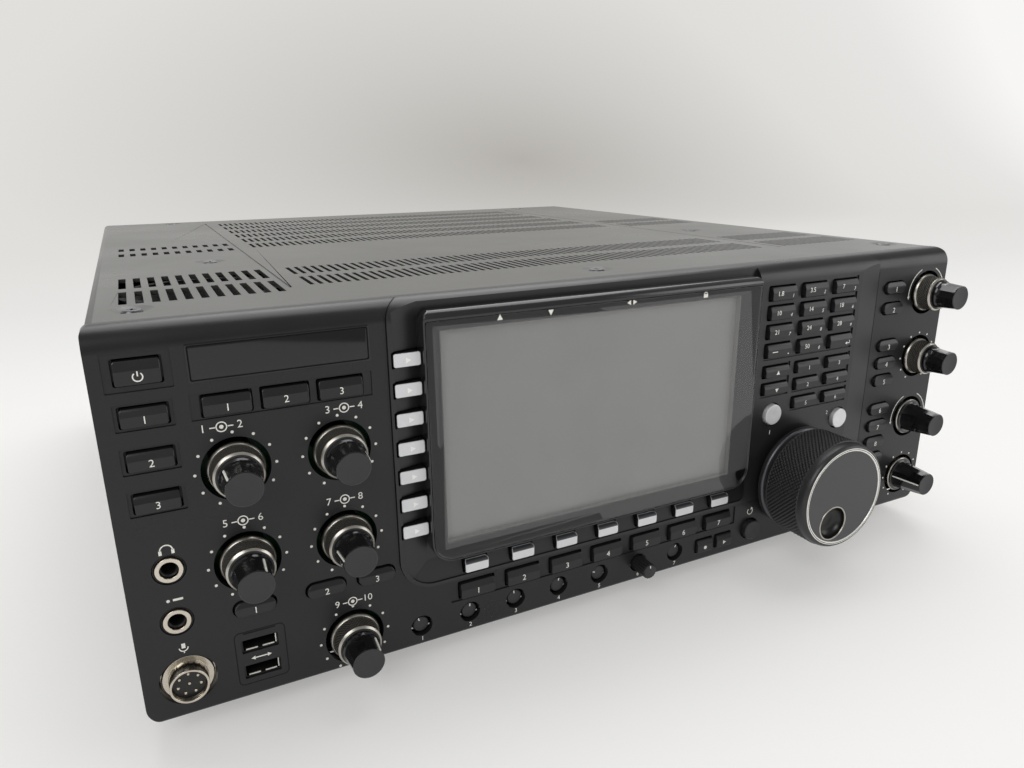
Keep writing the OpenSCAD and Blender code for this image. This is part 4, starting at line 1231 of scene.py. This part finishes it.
@dataclass
class RoundButtons:
    """Three round buttons: one black, two of spun metal."""

    places: Sequence[Point] = ((80.6, 8.4), (88.0, 72.0), (137.0, 62.0))
    r: float = 5.4
    front: float = 2.8
    back: float = -5.8

    def build(self) -> None:
        """Build the buttons, with turning marks on the metal ones."""
        piece = MeshPiece("round_buttons_caps")
        for i, place in enumerate(self.places):
            finish = KEY_PLASTIC if i == 0 else SPUN_ALUMINIUM
            marks = 0.0 if i == 0 else 0.003
            face = [
                (self.r - 0.55 - 0.2 * k, self.front - 0.28 * (k / 24) + (marks if k % 2 else -marks))
                for k in range(24)
            ]
            profile = [
                (0, self.back), (self.r + 1.1, self.back), (self.r + 1.1, self.back + 1.0),
                (self.r, self.back + 1.0), (self.r, self.front - 0.6), (self.r - 0.15, self.front - 0.2),
                (self.r - 0.4, self.front), *face, (0, self.front - 0.28),
            ]
            piece.lathe(place, profile, [finish] * (len(profile) - 1), around=64)
        piece.build("round_button_group", "silver_key_plastic", ("round_buttons",), sharp=30)


@dataclass
class FrontSockets:
    """Jacks, microphone socket and ports on the front."""

    jacks: Sequence[Point] = ((-197.5, 59.8), (-197.5, 38.7))
    mic: Point = (-196.7, 13.2)
    ports: Sequence[Point] = ((-170.2, 20.3), (-170.2, 9.0))
    pins: int = 7
    pin_circle: float = 4.1
    spring_planes: Point = (1.1, 1.45)

    def build(self) -> None:
        """Dress the metal and add the insulators."""
        dress("phone_jacks", NICKEL, 0.25)
        dress("mic_socket", NICKEL, 0.25)
        # The port shells take the darkened tin that paints their shade.
        dress("usb_ports", PORT_SHELL_PAINTED_SHADE, 0.0)
        self.jack_wells()
        self.insulator()
        self.tongues()

    def jack_wells(self) -> None:
        """Add the black collars round the jack rings and the black bores."""
        piece = MeshPiece("jack_collars")
        for place in self.jacks:
            collar = [
                (4.85, -2.9), (5.75, -2.9), (5.75, -0.5), (5.5, -0.3), (5.1, -0.5), (4.85, -0.9),
                (4.85, -2.9),
            ]
            piece.lathe(place, collar, [NYLON] * 6, around=48)
            tube = [(2.6, -16.8), (3.15, -16.8), (3.15, -1.2), (3.0, -1.1), (2.6, -1.6), (2.6, -16.8)]
            piece.lathe(place, tube, [NYLON] * 5, around=40)
        piece.build("case", "black_plastic")

    def insulator(self) -> None:
        """Add the pin insulator inside the microphone shell, with its pins."""
        piece = MeshPiece("mic_insulator")
        profile = [(0, -3.9), (6.05, -3.9), (6.05, 1.9), (5.8, 2.2), (0, 2.2)]
        piece.lathe(self.mic, profile, [PHENOLIC] * 4, around=48)
        ring = [on_circle(self.mic, self.pin_circle, FULL_TURN * i / self.pins) for i in range(self.pins)]
        pin = [(0, 2.0), (0.55, 2.0), (0.55, 2.5), (0.4, 2.7), (0, 2.75)]
        for place in [*ring, self.mic]:
            piece.lathe(place, pin, [NICKEL] * 4, around=14)
        piece.build("case", "black_plastic")

    def tongues(self) -> None:
        """Add the black tongues and the contact strips in the ports."""
        piece = MeshPiece("port_tongues")
        for x, z in self.ports:
            piece.prism(rectangle(x - 5.5, z - 0.15, x + 5.5, z + 1.75), 5.0, 13.4, NYLON)
            for i in range(4):
                c = x - 3.5 + 7.0 * i / 3
                piece.prism(rectangle(c - 0.5, z - 0.2, c + 0.5, z - 0.1), 5.6, 12.0, GOLD)
            for side in (-1, 1):
                c = x + side * 3.1
                self.spring(piece, rectangle(c - 2.2, z - 2.25, c + 2.2, z - 1.75))
            self.spring(piece, rectangle(x + 5.85, z - 1.9, x + 6.2, z + 1.9))
        piece.build("case", "black_plastic")

    def spring(self, piece: MeshPiece, outline: Profile) -> None:
        """Add one spring of a port's shell, just inside the mouth, in the lighter tin of a painted highlight.
        """
        piece.prism(outline, *self.spring_planes, TIN_PAINTED_HIGHLIGHT)


@dataclass
class CaseShell:
    """Panel, covers, chassis and what sits inside them."""

    bevels: dict[str, tuple[Finish, float]] = field(default_factory=lambda: {
        "front_panel": (PANEL_PAINT, 0.0),
        "display_fascia": (FASCIA_PLASTIC, 0.0),
        "display_bezel": (BEZEL_PLASTIC, 0.4),
        "display_window": (WINDOW_ACRYLIC, 0.0),
        # The screen film's light grey is a painted reflection.
        "lcd_panel": (LCD_FILM_PAINTED_REFLECTION, 0.0),
        # The covers' paint is lightened to paint their sheen.
        "top_cover": (COVER_PAINT_PAINTED_SHEEN, 0.25),
        "bottom_cover": (COVER_PAINT_PAINTED_SHEEN, 0.25),
        # Chassis and inner boxes take the near black that paints the shade inside the case.
        "chassis": (CHASSIS_STEEL_PAINTED_SHADE, 0.0),
        "rear_panel": (ZINC, 0.25),
        "feet": (FOOT_RUBBER, 0.8),
        "cover_screws": (SCREW, 0.12),
        "circuit_boards": (LAMINATE, 0.0),
        "panel_controls": (NYLON, 0.0),
        "internal_modules": (CHASSIS_STEEL_PAINTED_SHADE, 0.4),
        "heat_sink": (EXTRUDED, 0.0),
        "fan_frame": (NYLON, 0.5),
        "fan_rotor": (NYLON, 0.3),
        "rear_sockets": (NICKEL, 0.2),
        "mains_inlet": (NYLON, 0.3),
        "speaker": (PAPER_CONE, 0.0),
    })
    pierced: tuple[str, ...] = ("top_cover", "bottom_cover", "rear_panel")
    plate: tuple[float, float, float, float] = (-182.5, 127.2, -119.1, 140.9)
    window: tuple[float, float, float, float] = (-92.3, 45.65, 58.7, 136.15)
    port_frame: tuple[float, float, float, float] = (-179.5, 3.5, -160.4, 27.0)
    right_joint_shade: tuple[float, float, float, float] = (157.45, 27.0, 157.95, 139.5)

    def build(self) -> None:
        """Dress the CAD nodes and add the small fittings."""
        for node, (finish, bevel) in self.bevels.items():
            dress(node, finish, bevel, node not in self.pierced)
        self.gasket()
        self.bare_plate()
        self.port_plate()
        self.fascia_joint_shade()
        self.antenna_insulators()

    def gasket(self) -> None:
        """Add the grey gasket that lines the opening between screen and cover."""
        x0, z0, x1, z1 = self.window
        piece = MeshPiece("screen_gasket")
        loops = []
        for inset, y in ((0.02, -0.52), (0.02, -2.98), (0.15, -2.98), (0.15, -0.52)):
            corners = rectangle(x0 + inset, z0 + inset, x1 - inset, z1 - inset)
            loops.append([spot(x, y, z) for x, z in corners])
        piece.rings([*loops, loops[0]], GASKET)
        piece.weld()
        piece.build("case", "black_plastic")

    def bare_plate(self) -> None:
        """Add the bare plate at the upper left, framed by a fine groove painted black as shade."""
        x0, z0, x1, z1 = self.plate
        w, h = x1 - x0, z1 - z0
        centre = ((x0 + x1) / 2, (z0 + z1) / 2)
        piece = MeshPiece("bare_plate")

        def loops(rows: Sequence[Point]) -> list[list[Vector]]:
            """Give the plate's outline at each inset and plane."""
            made = []
            for inset, y in rows:
                outline = round_outline(w - 2 * inset, h - 2 * inset, 0.6, 3)
                made.append([spot(centre[0] + x, y, centre[1] + z) for x, z in outline])
            return made

        outer = piece.rings(loops([(0.0, 0.05), (0.0, -0.2), (0.2, -0.3), (0.55, -0.3)]), PLATE)
        piece.rings(loops([(0.55, -0.3), (0.6, -0.02), (1.0, -0.02), (1.05, -0.2)]), JOINT_PAINTED_SHADE)
        inner = piece.rings(loops([(1.05, -0.2), (1.15, -0.25)]), PLATE)
        piece.face(inner[-1], PLATE)
        piece.face(outer[0][::-1], PLATE)
        piece.weld()
        piece.build("case", "panel_paint", sharp=25)

    def port_plate(self) -> None:
        """Add the fine joint line round the port plate, with the slot at its top, both painted black as
        shade.
        """
        piece = MeshPiece("port_frame")
        x0, z0, x1, z1 = self.port_frame
        w, h = x1 - x0, z1 - z0
        centre = ((x0 + x1) / 2, (z0 + z1) / 2)
        loops = []
        for inset, y in ((0.0, 0.05), (0.0, -0.04), (0.4, -0.04), (0.4, 0.05)):
            outline = round_outline(w - 2 * inset, h - 2 * inset, 2.2 - inset, 4)
            loops.append([spot(centre[0] + x, y, centre[1] + z) for x, z in outline])
        loops.append(loops[0])
        piece.rings(loops, JOINT_PAINTED_SHADE)
        piece.weld()
        piece.prism(rectangle(centre[0] - 6, z1 - 1.2, centre[0] + 6, z1 - 0.6), -0.05, 0.05, JOINT_PAINTED_SHADE)
        piece.build("case", "panel_paint")

    def fascia_joint_shade(self) -> None:
        """Add the joint line along the right edge of the fascia, painted black as shade."""
        piece = MeshPiece("fascia_joint_shade")
        piece.prism(rectangle(*self.right_joint_shade), -0.03, 0.05, JOINT_PAINTED_SHADE)
        piece.build("case", "panel_paint")

    def antenna_insulators(self) -> None:
        """Add white insulators and gold contacts in the coaxial sockets at the rear."""
        piece = MeshPiece("antenna_insulators")
        face = -REAR_FACE
        disc = [
            (3.05, face), (6.35, face), (6.35, face - 2.4), (6.1, face - 2.6), (3.05, face - 2.6),
            (3.05, face),
        ]
        sleeve = [
            (1.75, face - 1.7), (1.98, face - 1.7), (1.98, face - 12.0), (1.75, face - 12.2),
            (1.75, face - 1.7),
        ]
        for place in ANTENNA_PLACES:
            piece.lathe(place, disc, [PTFE] * 5, around=40)
            piece.lathe(place, sleeve, [GOLD] * 4, around=24)
        piece.build("case", "socket_nickel")


@dataclass
class PanelMarks:
    """Printed marks: dots, arcs, arrows and plain numbers only."""

    knobs: Sequence[tuple[Point, float]]
    arcs: Sequence[Point]
    pairs: Sequence[tuple[Point, str, str]]
    dot_r: float = 0.55
    arc_r: float = 14.1

    def build(self, keys: dict[str, KeyField]) -> None:
        """Print the panel and the key caps.

        Args:
            keys: Key fields by name, whose places the marks follow.
        """
        self.panel()
        self.fascia()
        self.bezel()
        self.caps(keys)
        self.rear()

    def panel(self) -> None:
        """Print the scales, symbols and numbers on the panel face."""
        sheet = PrintSheet("panel_print", 0.0, "case", "panel_paint")
        for (x, z), r in self.knobs:
            for i in range(11):
                sheet.dot(*on_circle((x, z), r, math.radians(-150 + 30 * i)), self.dot_r)
        for centre in self.arcs:
            for side in (-1, 1):
                sheet.arc(centre, self.arc_r, 0.5, side * 24, side * 96)
                sheet.arrow(*on_circle(centre, self.arc_r, math.radians(side * 98)), 1.7, 180 + 8 * side)
        for (x, z), left, right in self.pairs:
            sheet.circle((x, z), 1.75, 0.42)
            sheet.dot(x, z, 0.75)
            for side in (-1, 1):
                sheet.bar((x + side * 2.1, z), (x + side * 4.0, z), 0.42)
            sheet.number(left, x - 6.2, z, 2.9)
            sheet.number(right, x + 6.2, z, 2.9)
        self.socket_signs(sheet)
        for i, (x, _) in enumerate(TRIM_PLACES):
            sheet.number(str(i + 1), x, 0.75, 2.0)
        x, z = 80.2, 18.4
        sheet.arc((x, z), 1.7, 0.4, 40, 320)
        sheet.arrow(x + 1.15, z + 1.5, 1.5, 100)
        sheet.build()

    def socket_signs(self, sheet: PrintSheet) -> None:
        """Print plain signs over the sockets: headset, dot and dash, microphone, arrows.

        Args:
            sheet: Sheet to print on.
        """
        x, z = -197.4, 68.4
        sheet.arc((x, z - 0.8), 2.1, 0.45, -90, 90)
        for side in (-1, 1):
            sheet.bar((x + side * 2.1, z - 0.6), (x + side * 2.1, z - 2.3), 1.05)
        x, z = -197.2, 47.6
        sheet.dot(x - 2.2, z, 0.6)
        sheet.bar((x - 0.6, z), (x + 2.8, z), 0.9)
        x, z = -196.8, 27.4
        sheet.bar((x, z + 1.6), (x, z - 0.4), 1.3)
        sheet.arc((x, z - 0.1), 1.5, 0.4, 90, 270)
        sheet.bar((x, z - 1.6), (x, z - 2.4), 0.4)
        x, z = -170.2, 14.6
        sheet.bar((x - 2.4, z), (x + 2.4, z), 0.45)
        sheet.arrow(x - 2.9, z, 1.5, -90)
        sheet.arrow(x + 2.9, z, 1.5, 90)

    def fascia(self) -> None:
        """Print the small numbers beside the two metal buttons."""
        sheet = PrintSheet("fascia_print", -1.0, "case", "panel_paint")
        sheet.number("1", 88.0, 61.9, 2.2)
        sheet.number("2", 128.6, 66.2, 2.0)
        sheet.build()

    def bezel(self) -> None:
        """Print plain signs on the screen cover's top border."""
        sheet = PrintSheet("window_print", -4.4, "case", "window_acrylic")
        sheet.arrow(-67.1, 138.9, 2.3, 0)
        sheet.arrow(-44.0, 138.9, 2.3, 180)
        sheet.arrow(-5.2, 139.1, 2.0, -90)
        sheet.arrow(-2.4, 139.1, 2.0, 90)
        x, z = 36.8, 138.9
        sheet.bar((x - 1.2, z - 0.6), (x + 1.2, z - 0.6), 1.6)
        sheet.arc((x, z + 0.2), 0.85, 0.35, -90, 90)
        sheet.build()

    def caps(self, keys: dict[str, KeyField]) -> None:
        """Print the key caps, each sheet on its own press group.

        Args:
            keys: Key fields by name, whose places the marks follow.
        """

        def sheet_on(name: str, ink: Finish = INK) -> PrintSheet:
            """Start the sheet of one key field."""
            group = keys[name]
            return PrintSheet(f"{name}_print", group.front, group.body, group.slot, ink)

        sheet = sheet_on("power_cap")
        x, z = keys["power_cap"].places[0]
        sheet.arc((x, z - 1.4), 1.5, 0.42, 40, 320)
        sheet.bar((x, z - 1.2), (x, z + 0.5), 0.42)
        sheet.build()

        for name in ("side_caps", "vox_caps", "mode_caps", "left_oval_caps", "right_oval_caps"):
            sheet = sheet_on(name)
            for i, (x, z) in enumerate(keys[name].places):
                sheet.number(str(i + 1), x, z - 1.0, 2.7)
            sheet.build()

        sheet = sheet_on("voice_caps")
        (ax, az), (bx, bz) = keys["voice_caps"].places
        sheet.dot(ax, az - 0.9, 0.95)
        sheet.arrow(bx, bz - 0.9, 2.0, 90)
        sheet.build()

        sheet = sheet_on("soft_caps", KEY_WINDOW)
        for x, z in keys["soft_caps"].places:
            sheet.arrow(x + 0.3, z - 0.2, 2.1, 90)
        sheet.build()
        self.keypad(sheet_on("band_caps"), keys["band_caps"].places)
        self.memory(sheet_on("memory_caps"), keys["memory_caps"].places)

    def keypad(self, sheet: PrintSheet, places: Sequence[Point]) -> None:
        """Print band numbers and digits on the keypad, whose places run down each column.

        Args:
            sheet: Sheet to print on.
            places: Middles of the keys.
        """
        bands = ("1.8", "10", "21", "", "3.5", "14", "24", "50", "7", "18", "28", "")
        digits = ("1", "4", "7", "", "2", "5", "8", "0", "3", "6", "9", "")
        for (x, z), band, digit in zip(places, bands, digits):
            if band:
                sheet.number(band, x - 3.2, z, 2.3)
                sheet.number(digit, x + 5.0, z - 1.5, 1.7, 0.25)
        x, z = places[3]
        sheet.dot(x + 5.4, z - 2.0, 0.35)
        sheet.bar((x - 5.2, z - 0.4), (x - 1.6, z - 0.4), 0.4)
        x, z = places[11]
        sheet.arrow(x + 3.6, z - 1.6, 1.5, -90)
        sheet.bar((x + 4.2, z - 1.6), (x + 6.0, z - 1.6), 0.35)
        sheet.bar((x + 5.85, z - 1.6), (x + 5.85, z - 0.2), 0.35)
        sheet.build()

    def memory(self, sheet: PrintSheet, places: Sequence[Point]) -> None:
        """Print two arrows and plain numbers on the memory keys.

        Args:
            sheet: Sheet to print on.
            places: Middles of the keys.
        """
        sheet.arrow(places[0][0], places[0][1] - 0.6, 2.0, 0)
        sheet.arrow(places[1][0], places[1][1] - 0.6, 2.0, 180)
        for i, (x, z) in enumerate(places[2:]):
            sheet.number(str(i + 1), x, z - 0.7, 2.1)
        sheet.build()

    def rear(self) -> None:
        """Print one to four strokes over the rear sockets, and an earth sign by the ground post."""
        piece = MeshPiece("rear_print")
        shapes = []
        for i, (middle, _) in enumerate(ANTENNA_PLACES):
            for k in range(i + 1):
                x = middle + 1.6 * (k - i / 2)
                shapes.append(rectangle(x - 0.3, 132.5, x + 0.3, 135.5))
        earth = 190
        for half, z in ((2.2, 60.6), (1.4, 59.4), (0.6, 58.2)):
            shapes.append(rectangle(earth - half, z, earth + half, z + 0.5))
        shapes.append(rectangle(earth - 0.25, 61.1, earth + 0.25, 64.0))
        for shape in shapes:
            piece.prism(shape, REAR_FACE - INK_SINK, REAR_FACE + INK_LIFT, INK)
        piece.build("case", "plated_sheet")


@dataclass
class Studio:
    """Pale floor and backdrop with a soft painted shade behind the object, soft light and the camera."""

    camera_place: tuple[float, float, float] = (-0.193018, -0.475163, 0.213061)
    camera_turn: tuple[float, float, float] = (73.0961, 0.5878, -26.6347)
    lens: float = 26.389
    floor_tone: str = "#f2f1ef"
    # The next three fields paint a soft shade on the backdrop behind the object: its middle, its width across
    # and its tones by distance.
    painted_shade_place: tuple[float, float, float] = (1.15, 2.13, 0.2)
    painted_shade_wide: float = 0.6
    painted_shade_tones: tuple[tuple[float, str], ...] = (
        (0.0, "#b4b1ac"), (0.5, "#cdcbc7"), (1.0, "#dfdedb"), (1.6, "#e6e5e3"), (2.15, "#f7f6f5"),
        (2.5, "#f7f6f5"),
    )
    floor_share: float = 0.35
    floor_fade: Point = (0.25, 0.6)
    surround_tone: str = "#f4f3f0"
    surround_strength: float = 0.36
    side: float = 6.0
    bend: float = 1.1
    wall_y: float = 1.5

    def build(self) -> None:
        """Build floor, lamps, world and camera."""
        self.sweep()
        self.lamps()
        self.world()
        self.camera()

    def sweep(self) -> None:
        """Build the floor that bends up into the backdrop."""
        bm = bmesh.new()
        rows: list[Point] = [(-self.side, 0.0), (-1.0, 0.0), (0.0, 0.0), (self.wall_y, 0.0)]
        for i in range(1, 17):
            a = math.radians(90 * i / 16)
            rows.append((self.wall_y + self.bend * math.sin(a), self.bend * (1 - math.cos(a))))
        rows.append((self.wall_y + self.bend, 5.0))
        made = [[bm.verts.new((x, y, z)) for x in (-self.side, self.side)] for y, z in rows]
        for low, high in zip(made, made[1:]):
            face = bm.faces.new([low[0], low[1], high[1], high[0]])
            face.smooth = True
        mesh = bpy.data.meshes.new("studio_sweep")
        bm.to_mesh(mesh)
        bm.free()
        mesh.materials.append(self.paper())
        sweep = bpy.data.objects.new("studio_sweep", mesh)
        bpy.context.scene.collection.objects.link(sweep)

    def paper(self) -> bpy.types.Material:
        """Give the backdrop paper: lit white paper, with a soft painted shade behind the object for eye and
        mirror.
        """
        made = bpy.data.materials.new("studio_paper_matte")
        made.use_nodes = True
        tree = made.node_tree
        tree.nodes.clear()
        place = add_node(tree, "ShaderNodeTexCoord").outputs["Object"]
        fibre = add_node(tree, "ShaderNodeTexNoise", inputs={
            "Vector": place, "Scale": 1 / (1.5 * MM), "Detail": 2.0}).outputs["Fac"]
        relief = add_node(tree, "ShaderNodeBump", inputs={
            "Height": fibre, "Strength": 0.2, "Distance": 0.05 * MM}).outputs["Normal"]
        lit = add_node(tree, "ShaderNodeBsdfPrincipled", inputs={
            "Base Color": linear(self.floor_tone), "Roughness": 0.7, "Normal": relief,
            "Specular IOR Level": 0.2}).outputs["BSDF"]
        wide = add_node(tree, "ShaderNodeMapping", {"vector_type": "TEXTURE"}, {
            "Vector": place, "Location": self.painted_shade_place,
            "Scale": (1 / self.painted_shade_wide, 1.0, 1.0)}).outputs["Vector"]
        far = add_node(tree, "ShaderNodeVectorMath", {"operation": "LENGTH"}, {0: wide}).outputs["Value"]
        reach = self.painted_shade_tones[-1][0]
        ramp = add_node(tree, "ShaderNodeValToRGB", inputs={
            "Fac": add_node(tree, "ShaderNodeMath", {"operation": "DIVIDE"}, {
                0: far, 1: reach}).outputs["Value"]})
        stops = ramp.color_ramp.elements
        while len(stops) < len(self.painted_shade_tones):
            stops.new(0.5)
        for stop, (at, tone) in zip(stops, self.painted_shade_tones):
            stop.position, stop.color = at / reach, linear(tone)
        seen = add_node(tree, "ShaderNodeEmission", inputs={
            "Color": ramp.outputs["Color"]}).outputs["Emission"]
        rays = add_node(tree, "ShaderNodeLightPath").outputs
        most = rays["Is Camera Ray"]
        for other in ("Is Glossy Ray", "Is Transmission Ray"):
            most = add_node(tree, "ShaderNodeMath", {"operation": "MAXIMUM"}, {
                0: most, 1: rays[other]}).outputs["Value"]
        away = add_node(tree, "ShaderNodeVectorMath", {"operation": "LENGTH"}, {0: place}).outputs["Value"]
        share = add_node(tree, "ShaderNodeMapRange", inputs={
            "Value": away, "From Min": self.floor_fade[0], "From Max": self.floor_fade[1],
            "To Min": self.floor_share}).outputs["Result"]
        part = add_node(tree, "ShaderNodeMath", {"operation": "MULTIPLY"}, {
            0: most, 1: share}).outputs["Value"]
        mixed = add_node(tree, "ShaderNodeMixShader", inputs={0: part, 1: lit, 2: seen}).outputs["Shader"]
        add_node(tree, "ShaderNodeOutputMaterial", inputs={"Surface": mixed})
        return made

    def lamps(self) -> None:
        """Hang three broad soft lamps."""
        for name, place, aim, size, power in (
            ("overhead_softbox", (0.3, 0.5, 1.7), (0.0, 0.0, 0.1), (1.8, 1.6), 26.0),
            ("front_fill", (-1.3, -1.5, 1.5), (0.0, -0.1, 0.1), (1.4, 1.2), 17.0),
            ("right_fill", (1.5, -1.1, 0.6), (0.1, -0.1, 0.1), (1.0, 1.0), 6.0),
        ):
            lamp = bpy.data.lights.new(name, "AREA")
            lamp.shape = "RECTANGLE"
            lamp.size, lamp.size_y = size
            lamp.energy = power
            made = bpy.data.objects.new(name, lamp)
            made.location = place
            made.rotation_euler = (Vector(aim) - Vector(place)).to_track_quat("-Z", "Y").to_euler()
            bpy.context.scene.collection.objects.link(made)

    def world(self) -> None:
        """Set an even pale surround."""
        world = bpy.data.worlds.new("studio_surround")
        world.use_nodes = True
        tree = world.node_tree
        tree.nodes.clear()
        shader = add_node(tree, "ShaderNodeBackground", inputs={
            "Color": linear(self.surround_tone), "Strength": self.surround_strength})
        add_node(tree, "ShaderNodeOutputWorld", inputs={"Surface": shader.outputs["Background"]})
        bpy.context.scene.world = world

    def camera(self) -> None:
        """Place the camera at the photograph's view."""
        lens = bpy.data.cameras.new("photo_view")
        lens.lens = self.lens
        lens.sensor_width = 36.0
        lens.clip_start, lens.clip_end = 0.01, 50.0
        made = bpy.data.objects.new("photo_view", lens)
        made.location = self.camera_place
        made.rotation_euler = [math.radians(a) for a in self.camera_turn]
        bpy.context.scene.collection.objects.link(made)
        bpy.context.scene.camera = made


def key_fields() -> dict[str, KeyField]:
    """Give every key field by its piece name."""
    columns = [88.3 + 21.6 * i for i in range(3)]
    band = [(x, 134.6 - 9.6 * j) for x in columns for j in range(4)]
    memory = [(x, 94.8 - 9.0 * j) for x in columns for j in range(2)]
    memory += [(x, 75.8) for x in columns[1:]]
    right = [(170.7, z) for z in (130.2, 118.9, 98.3, 88.3, 78.3, 61.4, 51.4, 41.4, 31.4)]
    left = [(x, 37.1) for x in (-170.3, -143.2, -122.8)]
    side = [(-197.5, 118.1 - 15.6 * i) for i in range(3)]
    vox = [(-171.2 + 20.0 * i, 118.4) for i in range(3)]
    mode = [(-78.2 + KEY_STEP * i, 18.8) for i in range(7)]
    soft = [(-105.3, 126.0 - 12.1 * i) for i in range(7)]
    function = [(-78.5 + KEY_STEP * i, 30.5) for i in range(7)]
    wide, oval, silver = (16.2, 7.1), (15.1, 5.9), (10.9, 5.4)
    oval_corner = 2.94
    out = -1.8
    fascia_out = out - 1.0
    painted = {"finish": SILVER_KEYS, "slot": "silver_key_plastic", "edge": 0.3, "walls": KEY_PLASTIC}
    fields = [
        KeyField("power_cap", "power_button", "power_group", [(-197.5, 133.6)], (14.2, 8.3), out),
        KeyField.group("side", side, (14.7, 6.5), out),
        KeyField.group("vox", vox, wide, out),
        KeyField.group("left_oval", left, oval, out, corner=oval_corner),
        KeyField.group("right_oval", right, oval, out, corner=oval_corner),
        KeyField.group("mode", mode, wide, out),
        KeyField.group("voice", [(49.6, 6.6), (62.2, 6.6)], (9.7, 6.6), out),
        KeyField.group("soft", soft, silver, out, fall=0.1, **painted),
        # The rolled tops of the function keys take the darkened copy of the silver paint: painted shade.
        KeyField.group("function", function, silver, out, knee=0.24, fall=2.2, rolled=True,
                       crown=SILVER_CROWN_PAINTED_SHADE, bends=4, **painted),
        KeyField.group("band", band, (16.0, 6.5), fascia_out),
        KeyField.group("memory", memory, (16.0, 5.5), fascia_out),
    ]
    return {made.name: made for made in fields}


def knob_sets() -> None:
    """Build every knob."""
    for name, (place, pointer) in KNOB_PAIRS.items():
        RingKnob(name, place).build()
        PointerKnob(f"{name}_tip", f"{name}_tip", f"{name}_tip_knob", place, 9.2, 20.3, pointer).build()
    for name, (place, pointer) in SINGLE_KNOBS.items():
        PointerKnob(f"{name}_cap", name, f"{name}_knob", place, -1.0, 18.3, pointer, skirt=True).build()
    for i, (place, turn) in enumerate(zip(TRIM_PLACES, TRIM_TURNS)):
        out = TRIM_PULLED_OUT if i == PULLED_TRIM else TRIM_IN
        TrimKnob(i + 1, place, out, pointer=turn).build()


def marks() -> PanelMarks:
    """Give the printed marks with the places of the knobs."""
    scales = [(KNOB_PAIRS[name][0], 14.0) for name in ("mic", "speed", "agc", "noise", "volume")]
    scales += [(KNOB_PAIRS["notch"][0], 13.5), (SINGLE_KNOBS["pitch"][0], 13.6)]
    return PanelMarks(
        knobs=scales,
        arcs=[KNOB_PAIRS["filter"][0], SINGLE_KNOBS["offset"][0]],
        pairs=[((-174.0, 110.2), "1", "2"), ((-130.5, 110.3), "3", "4"), ((-170.8, 73.1), "5", "6"),
               ((-133.0, 73.2), "7", "8"), ((-133.2, 27.8), "9", "10")],
    )


def main() -> None:
    """Build the scene in order."""
    logging.basicConfig(level=logging.INFO, format="%(name)s: %(message)s")
    bpy.context.scene.view_settings.view_transform = "Standard"
    Studio().build()
    CaseShell().build()
    fields = key_fields()
    for made in fields.values():
        made.build()
    RoundButtons().build()
    knob_sets()
    MainDial().build()
    FrontSockets().build()
    marks().build(fields)


if __name__ == "__main__":
    main()
